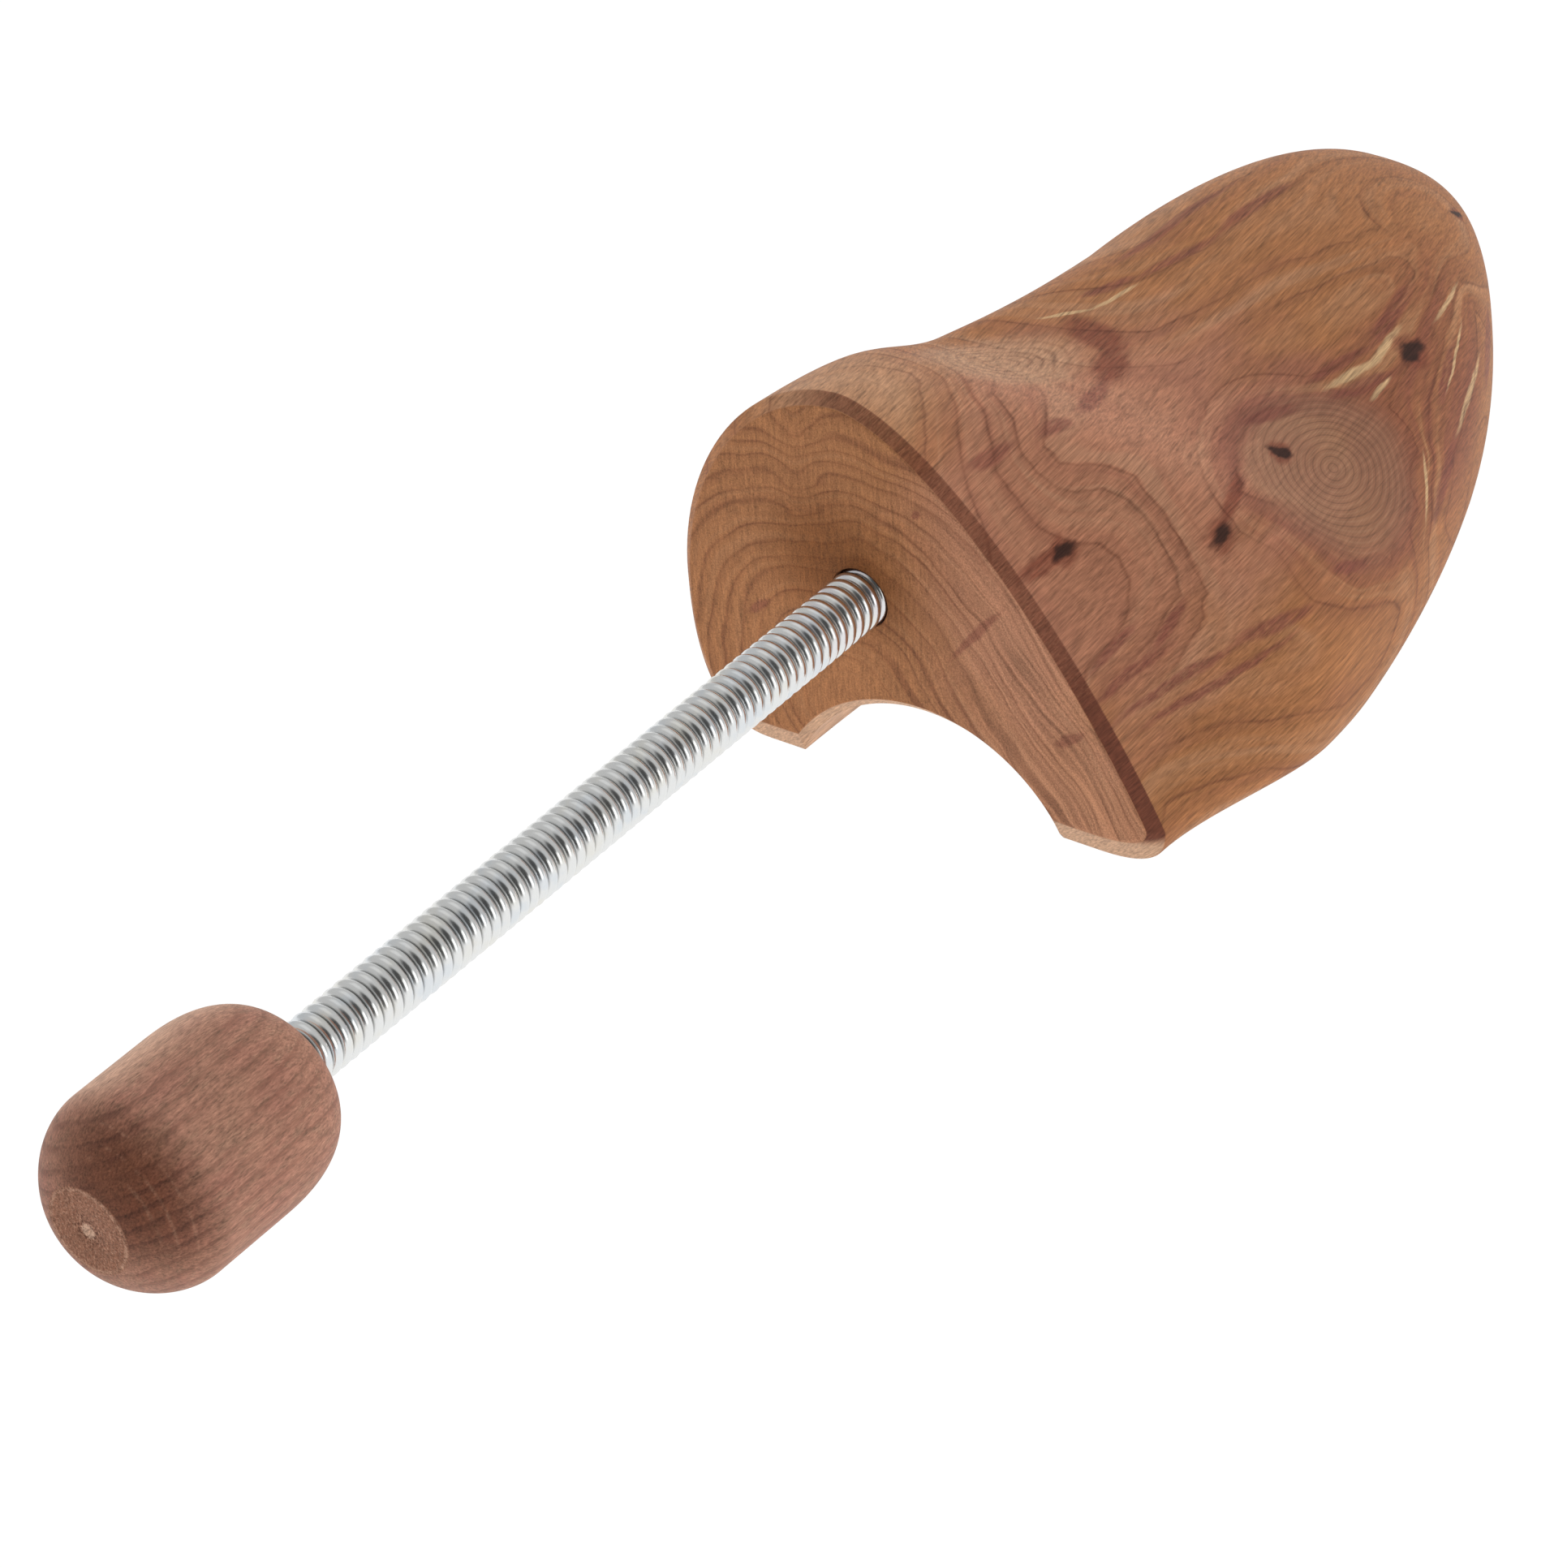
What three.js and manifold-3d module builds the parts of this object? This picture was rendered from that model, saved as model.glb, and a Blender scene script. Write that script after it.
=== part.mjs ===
// Spiral spring shoe tree for a right shoe: a carved wooden toe block, a close-wound steel spring
// and a turned wooden heel knob. Millimetres. +X points to the toe, +Y to the inner (medial) side
// of the foot and +Z up. The origin lies on the flat sole, under the middle of the block.
import * as THREE from 'three';
import { mergeVertices } from 'three/addons/utils/BufferGeometryUtils.js';
import Module from 'manifold-3d';

const wasm = await Module();
wasm.setup();

// Spring and its line through the block and the knob
const springOuterDiameter = 9;
const wireDiameter = 1.9;
const turnSpacing = 0.115;
const drawnTurnGap = 0.485;
const freeSpringLength = 126;
const springInBlock = 25;
const springInKnob = 20;
const springTiltDegrees = 7;
const stepsPerTurn = 8;
const wireSides = 5;

// Bores and the dowels that wedge the spring's ends in them
const boreClearance = 0.3;
const boreEndGap = 1;
const drillPointLength = 2.4;
const dowelClearance = 0.3;
const dowelLength = 18;

// Block: where it stands and how long it is
const rearFaceX = -70;
const mouthHeight = 31.3;
const blockLength = 145;
const rearChamfer = 2;
const footBevel = 4.6;
const flatSoleLength = 92;

// Block: outline of the rear face
const rearCrownHeight = 62.8;
const rearCrownSide = 2.2;
const rearMedialReach = 32;
const rearMedialHeight = 25;
const rearLateralReach = 48.4;
const rearLateralHeight = 6.8;
const rearSoleMedial = 19;
const rearSoleLateral = 36.8;

// Block: crown line from the instep over the saddle to the toe box
const instepX = 20;
const instepHeight = 56.2;
const saddleX = 45;
const saddleHeight = 43.4;
const saddleSide = 10.7;
const toeBoxX = 85;
const toeBoxHeight = 38.1;
const toeBoxSide = -2.1;

// Block: ball of the foot and toe tip
const ballLateralX = 31.8;
const ballLateralReach = 58.4;
const ballLateralHeight = 11.8;
const ballMedialX = 57.4;
const ballMedialReach = 24.6;
const ballMedialHeight = 14;
const ballBlendLength = 43.5;
const toeTipSide = -4.1;
const toeTipHeight = 7.5;
const leanLength = 87;

// Block: how full each curve is (2 is an ellipse, more is squarer, less is flatter)
const rearCrownPower = 1.6;
const rearSlopePower = 1.05;
const ballLateralPower = 2.46;
const rearMedialPower = 1.9;
const ballMedialPower = 1.9;
const rearUnderPower = 2.5;
const ballUnderPower = 2.6;
const lateralEdgePower = 2.6;
const toeLateralPower = 1.7;
const toeMedialPower = 2;
const toeTopPower = 1.92;

// Block: shares of its width and height where the flat sole ends and its sides are widest
const soleShareMedial = 0.77;
const soleShareLateral = 0.9;
const lowestLateralShare = 0.05;
const highestLateralShare = 0.35;
const highestMedialShare = 0.46;

// Block: scooped arch under the rear
const archRadius = 24.7;
const archSide = -9.2;
const archDrop = 10;
const archSlopeDegrees = 15;
const archLength = 110;
const archChamfer = 1.6;

// Knob
const knobDiameter = 27.8;
const knobLength = 37;
const knobFlatDiameter = 11.9;
const knobRearLength = 10.5;
const knobRearPower = 1.42;
const knobRearSidePower = 1.9;
const knobFrontLength = 13.9;
const knobFrontPower = 2.37;
const knobLip = 0.4;
const centreMarkDiameter = 1.6;
const centreMarkDepth = 0.6;

// Fineness of the facets
const blockStations = 38;
const toeCrowding = 1.8;
const quarterSteps = 9;
const roundSegments = 48;
const cutterOverrun = 8;

const springTilt = THREE.MathUtils.degToRad(springTiltDegrees);
const springPitch = wireDiameter + turnSpacing;
const boreRadius = springOuterDiameter / 2 + boreClearance;
const dowelRadius = springOuterDiameter / 2 - wireDiameter - dowelClearance;

// The spring's line: local +X runs along it to the toe, from its mouth in the block's rear face
const springLine = new THREE.Group();
springLine.position.set(rearFaceX, 0, mouthHeight);
springLine.rotation.y = springTilt;
springLine.updateMatrixWorld(true);

const ease = (share) => {
  const held = THREE.MathUtils.clamp(share, 0, 1);
  return held * held * (3 - 2 * held);
};

const blend = (from, to, share) => from + (to - from) * share;

// Quarter of a superellipse, from straight up (across 0, up 1) to straight out (across 1, up 0)
function quarter(topPower, sidePower = topPower) {
  const points = [];
  for (let step = 0; step <= quarterSteps; step += 1) {
    const angle = (Math.PI / 2) * (step / quarterSteps);
    points.push({
      across: Math.sin(angle) ** (2 / topPower),
      up: Math.max(0, Math.cos(angle)) ** (2 / sidePower),
    });
  }
  return points;
}

// Smooth curve through a few points, each [x, value]
function through(points, x) {
  const slopes = points.map((point, index) => {
    const before = points[Math.max(0, index - 1)];
    const after = points[Math.min(points.length - 1, index + 1)];
    return (after[1] - before[1]) / (after[0] - before[0]);
  });
  let index = 0;
  while (index < points.length - 2 && x > points[index + 1][0]) {
    index += 1;
  }
  const [fromX, from] = points[index];
  const [toX, to] = points[index + 1];
  const width = toX - fromX;
  const share = THREE.MathUtils.clamp((x - fromX) / width, 0, 1);
  const pull = share * (1 - share);
  const straight = blend(from, to, ease(share));
  return straight + pull * width * (slopes[index] * (1 - share) - slopes[index + 1] * share);
}

// How much of a width is left at x, where it closes round the toe from a start line
function closing(x, start, power) {
  const share = THREE.MathUtils.clamp((x - start) / (blockLength - start), 0, 1);
  return Math.max(0, 1 - share ** power) ** (1 / power);
}

// Closed skin over rings of points, with a fan over each end
function skin(rings) {
  const around = rings[0].length;
  const points = rings.flat();
  const faces = [];
  for (let ring = 0; ring < rings.length - 1; ring += 1) {
    for (let side = 0; side < around; side += 1) {
      const next = (side + 1) % around;
      const a = ring * around + side;
      const b = ring * around + next;
      faces.push(a, b, a + around, b, b + around, a + around);
    }
  }
  for (const ring of [0, rings.length - 1]) {
    const middle = points.length;
    const sum = new THREE.Vector3();
    rings[ring].forEach((point) => sum.add(point));
    points.push(sum.divideScalar(around));
    for (let side = 0; side < around; side += 1) {
      const here = ring * around + side;
      const next = ring * around + ((side + 1) % around);
      faces.push(...(ring === 0 ? [middle, next, here] : [middle, here, next]));
    }
  }
  const geometry = new THREE.BufferGeometry().setFromPoints(points);
  geometry.setIndex(faces);
  return geometry;
}

// Geometry to solid and back, for cuts
function toSolid(geometry) {
  const bare = geometry.clone();
  bare.deleteAttribute('normal');
  bare.deleteAttribute('uv');
  const merged = mergeVertices(bare);
  const index = merged.index.array;
  const triangles = [];
  for (let corner = 0; corner < index.length; corner += 3) {
    const [a, b, c] = index.slice(corner, corner + 3);
    if (a !== b && b !== c && c !== a) {
      triangles.push(a, b, c);
    }
  }
  return new wasm.Manifold(new wasm.Mesh({
    numProp: 3,
    vertProperties: new Float32Array(merged.attributes.position.array),
    triVerts: new Uint32Array(triangles),
  }));
}

function toGeometry(solid) {
  const mesh = solid.getMesh();
  const geometry = new THREE.BufferGeometry();
  geometry.setAttribute('position', new THREE.BufferAttribute(mesh.vertProperties, 3));
  geometry.setIndex(new THREE.BufferAttribute(mesh.triVerts, 1));
  return geometry;
}

// Turned solid along local +X from a profile of [radius, along]
function turned(profile) {
  const points = profile.map(([radius, along]) => new THREE.Vector2(radius, along));
  const geometry = new THREE.LatheGeometry(points, roundSegments);
  geometry.rotateZ(-Math.PI / 2);
  return geometry;
}

// One cross-section of the block, x ahead of its rear face, drawn in by inset and further at its feet
function blockSection(x, inset) {
  const toBall = ease(x / ballBlendLength);
  const crown = through([
    [0, rearCrownHeight],
    [instepX, instepHeight],
    [saddleX, saddleHeight],
    [toeBoxX, toeBoxHeight],
  ], Math.min(x, toeBoxX));
  const crownSide = through([
    [0, rearCrownSide],
    [saddleX, saddleSide],
    [toeBoxX, toeBoxSide],
    [blockLength, toeTipSide],
  ], x);
  const lateralReach = blend(-rearLateralReach, -ballLateralReach, ease(x / ballLateralX));
  const medialReach = blend(rearMedialReach, ballMedialReach, ease(x / ballMedialX));
  const top = blend(toeTipHeight, crown, closing(x, toeBoxX, toeTopPower));
  const lateral = blend(toeTipSide, lateralReach, closing(x, ballLateralX, toeLateralPower));
  const medial = blend(toeTipSide, medialReach, closing(x, ballMedialX, toeMedialPower));
  const risen = THREE.MathUtils.clamp((x - flatSoleLength) / (blockLength - flatSoleLength), 0, 1);
  const sole = toeTipHeight * risen ** 2;
  const lateralHeight = THREE.MathUtils.clamp(
    blend(rearLateralHeight, ballLateralHeight, toBall),
    blend(sole, top, lowestLateralShare),
    blend(sole, top, highestLateralShare),
  );
  const medialHeight = Math.min(
    blend(rearMedialHeight, ballMedialHeight, toBall),
    blend(sole, top, highestMedialShare),
  );
  const soleMedial = blend(toeTipSide, medial, soleShareMedial);
  const soleLateral = blend(toeTipSide, lateral, soleShareLateral);
  return {
    crownSide,
    top: top - inset,
    sole: sole + inset * (footBevel / rearChamfer),
    lateral: lateral + inset,
    medial: medial - inset,
    lateralHeight: lateralHeight + inset / 2,
    medialHeight,
    soleMedial: blend(rearSoleMedial, soleMedial, toBall) - inset / 2,
    soleLateral: blend(-rearSoleLateral, soleLateral, toBall) + inset / 2,
    crownPower: blend(rearCrownPower, ballLateralPower, toBall),
    slopePower: blend(rearSlopePower, ballLateralPower, toBall),
    medialPower: blend(rearMedialPower, ballMedialPower, toBall),
    underPower: blend(rearUnderPower, ballUnderPower, toBall),
  };
}

// The section's outline as points, leaning with the rear face near it
function blockRing(x, inset = 0) {
  const form = blockSection(x, inset);
  const outline = [];
  const addQuarter = (points, fromSide, fromHeight, toSide, toHeight) => {
    for (const { across, up } of points) {
      outline.push([blend(fromSide, toSide, across), blend(toHeight, fromHeight, up)]);
    }
  };
  const { crownSide, top, sole, lateral, medial, lateralHeight, medialHeight } = form;
  addQuarter(quarter(form.crownPower, form.slopePower), crownSide, top, lateral, lateralHeight);
  addQuarter(quarter(lateralEdgePower).reverse().slice(1), form.soleLateral, sole, lateral, lateralHeight);
  addQuarter(quarter(form.underPower), form.soleMedial, sole, medial, medialHeight);
  addQuarter(quarter(form.medialPower).reverse().slice(1, -1), crownSide, top, medial, medialHeight);
  const lean = Math.tan(springTilt) * Math.max(0, 1 - x / leanLength);
  return outline.map(([side, height]) => {
    const along = rearFaceX + x + (height - mouthHeight) * lean;
    return new THREE.Vector3(along, side, height);
  });
}

// Blind bore for the spring, along local +X from just outside the wood, with a drilled point
function springBore(depth) {
  return turned([
    [0, -cutterOverrun],
    [boreRadius, -cutterOverrun],
    [boreRadius, depth],
    [0, depth + drillPointLength],
  ]);
}

// Scoop under the rear, sloping down to the toe, and the bevel where it meets the rear face
function archCutters() {
  const scoop = turned([
    [0, -cutterOverrun],
    [archRadius, -cutterOverrun],
    [archRadius, archLength],
    [0, archLength],
  ]);
  scoop.rotateY(THREE.MathUtils.degToRad(archSlopeDegrees) - springTilt);
  const bevel = turned([
    [0, -cutterOverrun],
    [archRadius + archChamfer + cutterOverrun, -cutterOverrun],
    [archRadius, archChamfer],
    [0, archChamfer],
  ]);
  const centreBelowMouth = mouthHeight / Math.cos(springTilt) + archDrop;
  return [scoop, bevel].map((cutter) => {
    cutter.translate(0, archSide, -centreBelowMouth);
    return cutter.applyMatrix4(springLine.matrixWorld);
  });
}

function makeToeBlock() {
  const rings = [blockRing(0, rearChamfer)];
  for (let station = 0; station < blockStations; station += 1) {
    const remaining = 1 - station / blockStations;
    rings.push(blockRing(blend(blockLength, rearChamfer, remaining ** toeCrowding)));
  }
  const bore = springBore(springInBlock + boreEndGap).applyMatrix4(springLine.matrixWorld);
  let block = toSolid(skin(rings));
  for (const cutter of [bore, ...archCutters()]) {
    block = block.subtract(toSolid(cutter));
  }
  return toGeometry(block);
}

function makeHeelKnob() {
  const radius = knobDiameter / 2;
  const flatRadius = knobFlatDiameter / 2;
  const lipRadius = boreRadius + knobLip;
  const boreDepth = springInKnob + boreEndGap;
  const rear = quarter(knobRearPower, knobRearSidePower).map(({ across, up }) => [
    blend(flatRadius, radius, across),
    knobRearLength * (1 - up),
  ]);
  const front = quarter(knobFrontPower).reverse().map(({ across, up }) => [
    blend(lipRadius, radius, across),
    knobLength - knobFrontLength * (1 - up),
  ]);
  return turned([
    [0, centreMarkDepth],
    [centreMarkDiameter / 2, 0],
    ...rear,
    ...front,
    [boreRadius, knobLength],
    [boreRadius, knobLength - boreDepth],
    [0, knobLength - boreDepth - drillPointLength],
  ]);
}

// Left-hand close-wound helix along local +X, drawn with a slimmer wire so that its turns stay apart
function makeCoilSpring() {
  const drawnRadius = (springPitch - drawnTurnGap) / 2;
  const turnRadius = springOuterDiameter / 2 - drawnRadius;
  const springLength = springInKnob + freeSpringLength + springInBlock;
  const stepLength = springPitch / stepsPerTurn;
  const steps = Math.floor((springLength - 2 * drawnRadius) / stepLength);
  const climb = springPitch / (2 * Math.PI * turnRadius);
  const rings = [];
  for (let step = 0; step <= steps; step += 1) {
    const angle = (-2 * Math.PI * step) / stepsPerTurn;
    const along = drawnRadius + step * stepLength;
    const outward = new THREE.Vector3(0, Math.cos(angle), Math.sin(angle));
    const forward = new THREE.Vector3(climb, Math.sin(angle), -Math.cos(angle)).normalize();
    const sideways = new THREE.Vector3().crossVectors(forward, outward);
    const ring = [];
    for (let side = 0; side < wireSides; side += 1) {
      const turn = (2 * Math.PI * side) / wireSides;
      const point = outward.clone().multiplyScalar(turnRadius + drawnRadius * Math.cos(turn));
      point.addScaledVector(sideways, drawnRadius * Math.sin(turn));
      point.x += along;
      ring.push(point);
    }
    rings.push(ring);
  }
  printLeastGap(rings);
  return skin(rings);
}

// Least distance between points of one turn, taken midway, and the turns beside it
function printLeastGap(rings) {
  const middle = Math.floor(rings.length / 2);
  const apart = stepsPerTurn / 2;
  let least = Infinity;
  rings[middle].forEach((point) => {
    rings.forEach((ring, index) => {
      if (Math.abs(index - middle) >= apart) {
        ring.forEach((other) => {
          least = Math.min(least, point.distanceTo(other));
        });
      }
    });
  });
  console.log(`least gap between the spring's turns: ${least.toFixed(3)} mm`);
}

function makeDowel() {
  const geometry = new THREE.CylinderGeometry(dowelRadius, dowelRadius, dowelLength, roundSegments / 2);
  geometry.rotateZ(-Math.PI / 2);
  return geometry;
}

function makePiece(name, geometry, color, roughness, metalness) {
  const material = new THREE.MeshStandardMaterial({ color, roughness, metalness });
  const mesh = new THREE.Mesh(geometry, material);
  mesh.name = name;
  return mesh;
}

const shoeTree = new THREE.Group();
shoeTree.add(makePiece('toe_block', makeToeBlock(), 0xa97a5c, 0.5, 0));

const spring = makePiece('coil_spring', makeCoilSpring(), 0xc9cacb, 0.25, 1);
spring.position.x = -(freeSpringLength + springInKnob);
springLine.add(spring);

const knob = makePiece('heel_knob', makeHeelKnob(), 0xa6775c, 0.5, 0);
knob.position.x = -(freeSpringLength + knobLength);
springLine.add(knob);

const toeDowel = makePiece('toe_dowel', makeDowel(), 0xd9bd92, 0.6, 0);
toeDowel.position.x = springInBlock - dowelLength / 2;
springLine.add(toeDowel);

const heelDowel = makePiece('heel_dowel', makeDowel(), 0xd9bd92, 0.6, 0);
heelDowel.position.x = -(freeSpringLength + springInKnob - dowelLength / 2);
springLine.add(heelDowel);

shoeTree.add(springLine);

export default shoeTree;
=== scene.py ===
import math
from types import SimpleNamespace
import bpy
import numpy as np
from mathutils import Matrix, Vector


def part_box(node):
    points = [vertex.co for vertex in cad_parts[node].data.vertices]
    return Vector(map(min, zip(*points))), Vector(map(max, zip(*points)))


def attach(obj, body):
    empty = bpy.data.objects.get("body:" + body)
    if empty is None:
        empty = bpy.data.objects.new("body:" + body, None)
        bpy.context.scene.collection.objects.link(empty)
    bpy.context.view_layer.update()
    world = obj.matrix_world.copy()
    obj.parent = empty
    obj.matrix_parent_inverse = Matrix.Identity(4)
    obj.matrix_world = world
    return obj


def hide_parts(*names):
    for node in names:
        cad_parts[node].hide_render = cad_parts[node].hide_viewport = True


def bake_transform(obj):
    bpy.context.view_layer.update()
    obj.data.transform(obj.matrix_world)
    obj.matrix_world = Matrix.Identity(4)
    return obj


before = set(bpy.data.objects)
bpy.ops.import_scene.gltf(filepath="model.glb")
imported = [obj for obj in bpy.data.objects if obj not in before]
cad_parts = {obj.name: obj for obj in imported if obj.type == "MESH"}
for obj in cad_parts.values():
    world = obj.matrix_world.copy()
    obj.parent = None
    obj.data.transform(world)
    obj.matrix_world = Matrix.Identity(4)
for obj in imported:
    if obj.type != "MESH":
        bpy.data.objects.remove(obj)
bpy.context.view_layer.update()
print("frame:", sorted(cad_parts))

# Sizes below are in millimetres in the frame's own axes, and meshes are written in metres
mm = 0.001


def linear(red, green, blue):
    # colour picked on screen, 0 to 255, as the renderer wants it
    return tuple(((c / 255 + 0.055) / 1.055) ** 2.4 if c > 10 else c / 255 / 12.92
                 for c in (red, green, blue)) + (1,)


# Camera, behind and above the heel, on the outer side of the foot
cameraView = {
    "place": (-0.520793, -0.373896, 0.483823),
    "turn": (50.0306, 7.6499, -55.22695),   # degrees
    "focalPixels": 6500,
    "imageHeight": 1932,
    "sensor": 36,
}


def makeCamera():
    lens = bpy.data.cameras.new("productCamera")
    lens.sensor_width = cameraView["sensor"]
    lens.lens = cameraView["sensor"] * cameraView["focalPixels"] / cameraView["imageHeight"]
    lens.clip_start = 0.01
    lens.clip_end = 20
    camera = bpy.data.objects.new("productCamera", lens)
    camera.location = cameraView["place"]
    camera.rotation_euler = [math.radians(angle) for angle in cameraView["turn"]]
    bpy.context.scene.collection.objects.link(camera)
    bpy.context.scene.camera = camera


makeCamera()
print("camera set")


# Node boards: one per material, with sums on sockets written as plain Python
class Link:
    def __init__(self, board, socket):
        self.board = board
        self.socket = socket

    def maths(self, operation, first, second=0.0):
        return self.board.add("ShaderNodeMath", {"operation": operation}, {0: first, 1: second})

    def __add__(self, other):
        return self.maths("ADD", self, other)

    def __sub__(self, other):
        return self.maths("SUBTRACT", self, other)

    def __rsub__(self, other):
        return self.maths("SUBTRACT", other, self)

    def __mul__(self, other):
        return self.maths("MULTIPLY", self, other)

    def __truediv__(self, other):
        return self.maths("DIVIDE", self, other)

    __radd__ = __add__
    __rmul__ = __mul__

    def root(self):
        return self.maths("SQRT", self)

    def size(self):
        return self.maths("ABSOLUTE", self)

    def part(self):
        return self.maths("FRACT", self)

    def bell(self):
        return self.maths("EXPONENT", self * self * -1)

    def held(self, low=0.0, high=1.0):
        return self.board.add("ShaderNodeClamp", None, {0: self, 1: low, 2: high})


class Board:
    def __init__(self, tree):
        self.tree = tree
        tree.nodes.clear()

    def add(self, kind, settings=None, sockets=None, out=0):
        node = self.tree.nodes.new(kind)
        for name, value in (settings or {}).items():
            setattr(node, name, value)
        for key, value in (sockets or {}).items():
            if isinstance(value, Link):
                self.tree.links.new(value.socket, node.inputs[key])
            else:
                node.inputs[key].default_value = value
        return Link(self, node.outputs[out]) if node.outputs else None

    def vector(self, operation, first, second, out=0):
        return self.add("ShaderNodeVectorMath", {"operation": operation}, {0: first, 1: second}, out)

    def step(self, value, low, high):
        # smooth 0 to 1 as the value goes from low to high
        return self.add("ShaderNodeMapRange", {"interpolation_type": "SMOOTHSTEP"},
                        {0: value, 1: low, 2: high})

    def mix(self, share, first, second, mode="MIX"):
        return self.add("ShaderNodeMix", {"data_type": "RGBA", "blend_type": mode},
                        {0: share, 6: first, 7: second}, 2)

    def blend(self, share, first, second):
        return share * (second - first) + first

    def noise(self, place, stretch, detail=2.0, rough=0.5, out=0):
        return self.add("ShaderNodeTexNoise", None, {
            "Vector": self.vector("MULTIPLY", place, stretch),
            "Scale": 1.0, "Detail": detail, "Roughness": rough}, out)

    def swirl(self, place, stretch, detail, rough):
        # a small push in every direction, for warping places
        push = self.noise(place, stretch, detail, rough, "Color")
        return self.vector("SUBTRACT", push, (0.5, 0.5, 0.5))

    def pushed(self, place, push, amounts):
        return self.vector("ADD", place, self.vector("MULTIPLY", push, amounts))

    def attribute(self, name):
        return self.add("ShaderNodeAttribute", {"attribute_name": name}, None, "Fac")

    def axes(self, place):
        node = self.add("ShaderNodeSeparateXYZ", None, {0: place})
        return [Link(self, socket) for socket in node.socket.node.outputs]

    def point(self, x, y, z):
        return self.add("ShaderNodeCombineXYZ", None, {0: x, 1: y, 2: z})

    def local(self, place, centre, turn, sizes=(1, 1, 1)):
        # the place as seen from a turned box of its own
        return self.add("ShaderNodeMapping", {"vector_type": "TEXTURE"}, {
            "Vector": place, "Location": centre, "Rotation": turn, "Scale": sizes})

    def reach(self, place, centre, turn, sizes):
        # 0 in the middle of a turned ellipsoid and 1 on its skin
        return self.vector("LENGTH", self.local(place, centre, turn, sizes), (0, 0, 0), "Value")

    def streak(self, place, ends, width, ragged, inside):
        # soft lens from one end to the other, thin along the skin and deep into it
        start, end = Vector(ends[0]), Vector(ends[1])
        middle, way = (start + end) / 2, (end - start).normalized()
        out = Vector([0 if want is None else have - want for have, want in zip(middle, inside)])
        out = (out - way * out.dot(way)).normalized()
        turn = Matrix((way, out.cross(way), out)).transposed().to_euler()
        sizes = ((end - start).length * 0.58, width, width + 3)
        return self.step(self.reach(place, middle, turn, sizes) + ragged, 1.15, 0.5)

    def surface(self, values, height=None, strength=0.3, distance=0.0001):
        sockets = dict(values)
        if height is not None:
            sockets["Normal"] = self.add("ShaderNodeBump", None, {
                "Strength": strength, "Distance": distance, "Height": height})
        shader = self.add("ShaderNodeBsdfPrincipled", None, sockets)
        self.add("ShaderNodeOutputMaterial", None, {"Surface": shader})


def newBoard(name):
    material = bpy.data.materials.new(name)
    material.use_nodes = True
    return material, Board(material.node_tree)


def millimetres(board):
    place = board.add("ShaderNodeTexCoord", None, None, "Object")
    return board.vector("MULTIPLY", place, (1000, 1000, 1000))


# Spring's line through block and knob: local +X runs along it to the toe, from its mouth
springLine = {"mouth": (-70, 0, 31.3), "tilt": 7}
lineMatrix = Matrix.Translation(Vector(springLine["mouth"]) * mm) @ \
    Matrix.Rotation(math.radians(springLine["tilt"]), 4, "Y")


def onLine(along):
    return lineMatrix @ Vector((along * mm, 0, 0))


# Mesh helpers
def meshObject(name, points, faces, material, sharpDegrees=28):
    mesh = bpy.data.meshes.new(name)
    mesh.from_pydata(points, [], faces)
    mesh.validate()
    piece = bpy.data.objects.new(name, mesh)
    bpy.context.scene.collection.objects.link(piece)
    mesh.materials.append(material)
    smooth(mesh, sharpDegrees)
    return piece


def smooth(mesh, sharpDegrees):
    mesh.polygons.foreach_set("use_smooth", [True] * len(mesh.polygons))
    mesh.set_sharp_from_angle(angle=math.radians(sharpDegrees))
    mesh.update()


def ringSkin(rings):
    # quads between rings, and a fan over each end
    around = len(rings[0])
    points = [tuple(point) for ring in rings for point in ring]
    faces = []
    for ring in range(len(rings) - 1):
        for side in range(around):
            here = ring * around + side
            beside = ring * around + (side + 1) % around
            faces.append((here, beside, beside + around, here + around))
    for ring in (0, len(rings) - 1):
        middle = len(points)
        points.append(tuple(np.mean(rings[ring], axis=0)))
        for side in range(around):
            here = ring * around + side
            beside = ring * around + (side + 1) % around
            faces.append((middle, beside, here) if ring == 0 else (middle, here, beside))
    return points, faces


def turnedRings(profile, segments):
    # rings along local +X from a profile of (radius, along), in metres
    angles = np.arange(segments) * 2 * math.pi / segments
    return [np.stack([np.full(segments, along * mm), radius * mm * np.cos(angles),
                      radius * mm * np.sin(angles)], axis=1) for radius, along in profile]


def placed(rings, matrix):
    return [np.array([matrix @ Vector(point) for point in ring]) for ring in rings]


def quarter(steps, topPower, sidePower=None):
    # quarter of a superellipse, from straight up to straight out
    angles = np.linspace(0, math.pi / 2, steps + 1)
    across = np.sin(angles) ** (2 / topPower)
    up = np.maximum(0, np.cos(angles)) ** (2 / (sidePower or topPower))
    return np.stack([across, up], axis=1)


def eased(share):
    held = min(max(share, 0), 1)
    return held * held * (3 - 2 * held)


def between(first, second, share):
    return first + (second - first) * share


def rounded(before, corner, after, steps=4):
    # a corner softened to a short curve
    shares = np.linspace(0, 1, steps + 1)
    return [tuple((1 - s) ** 2 * np.array(before) + 2 * s * (1 - s) * np.array(corner)
                  + s * s * np.array(after)) for s in shares]


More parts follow.
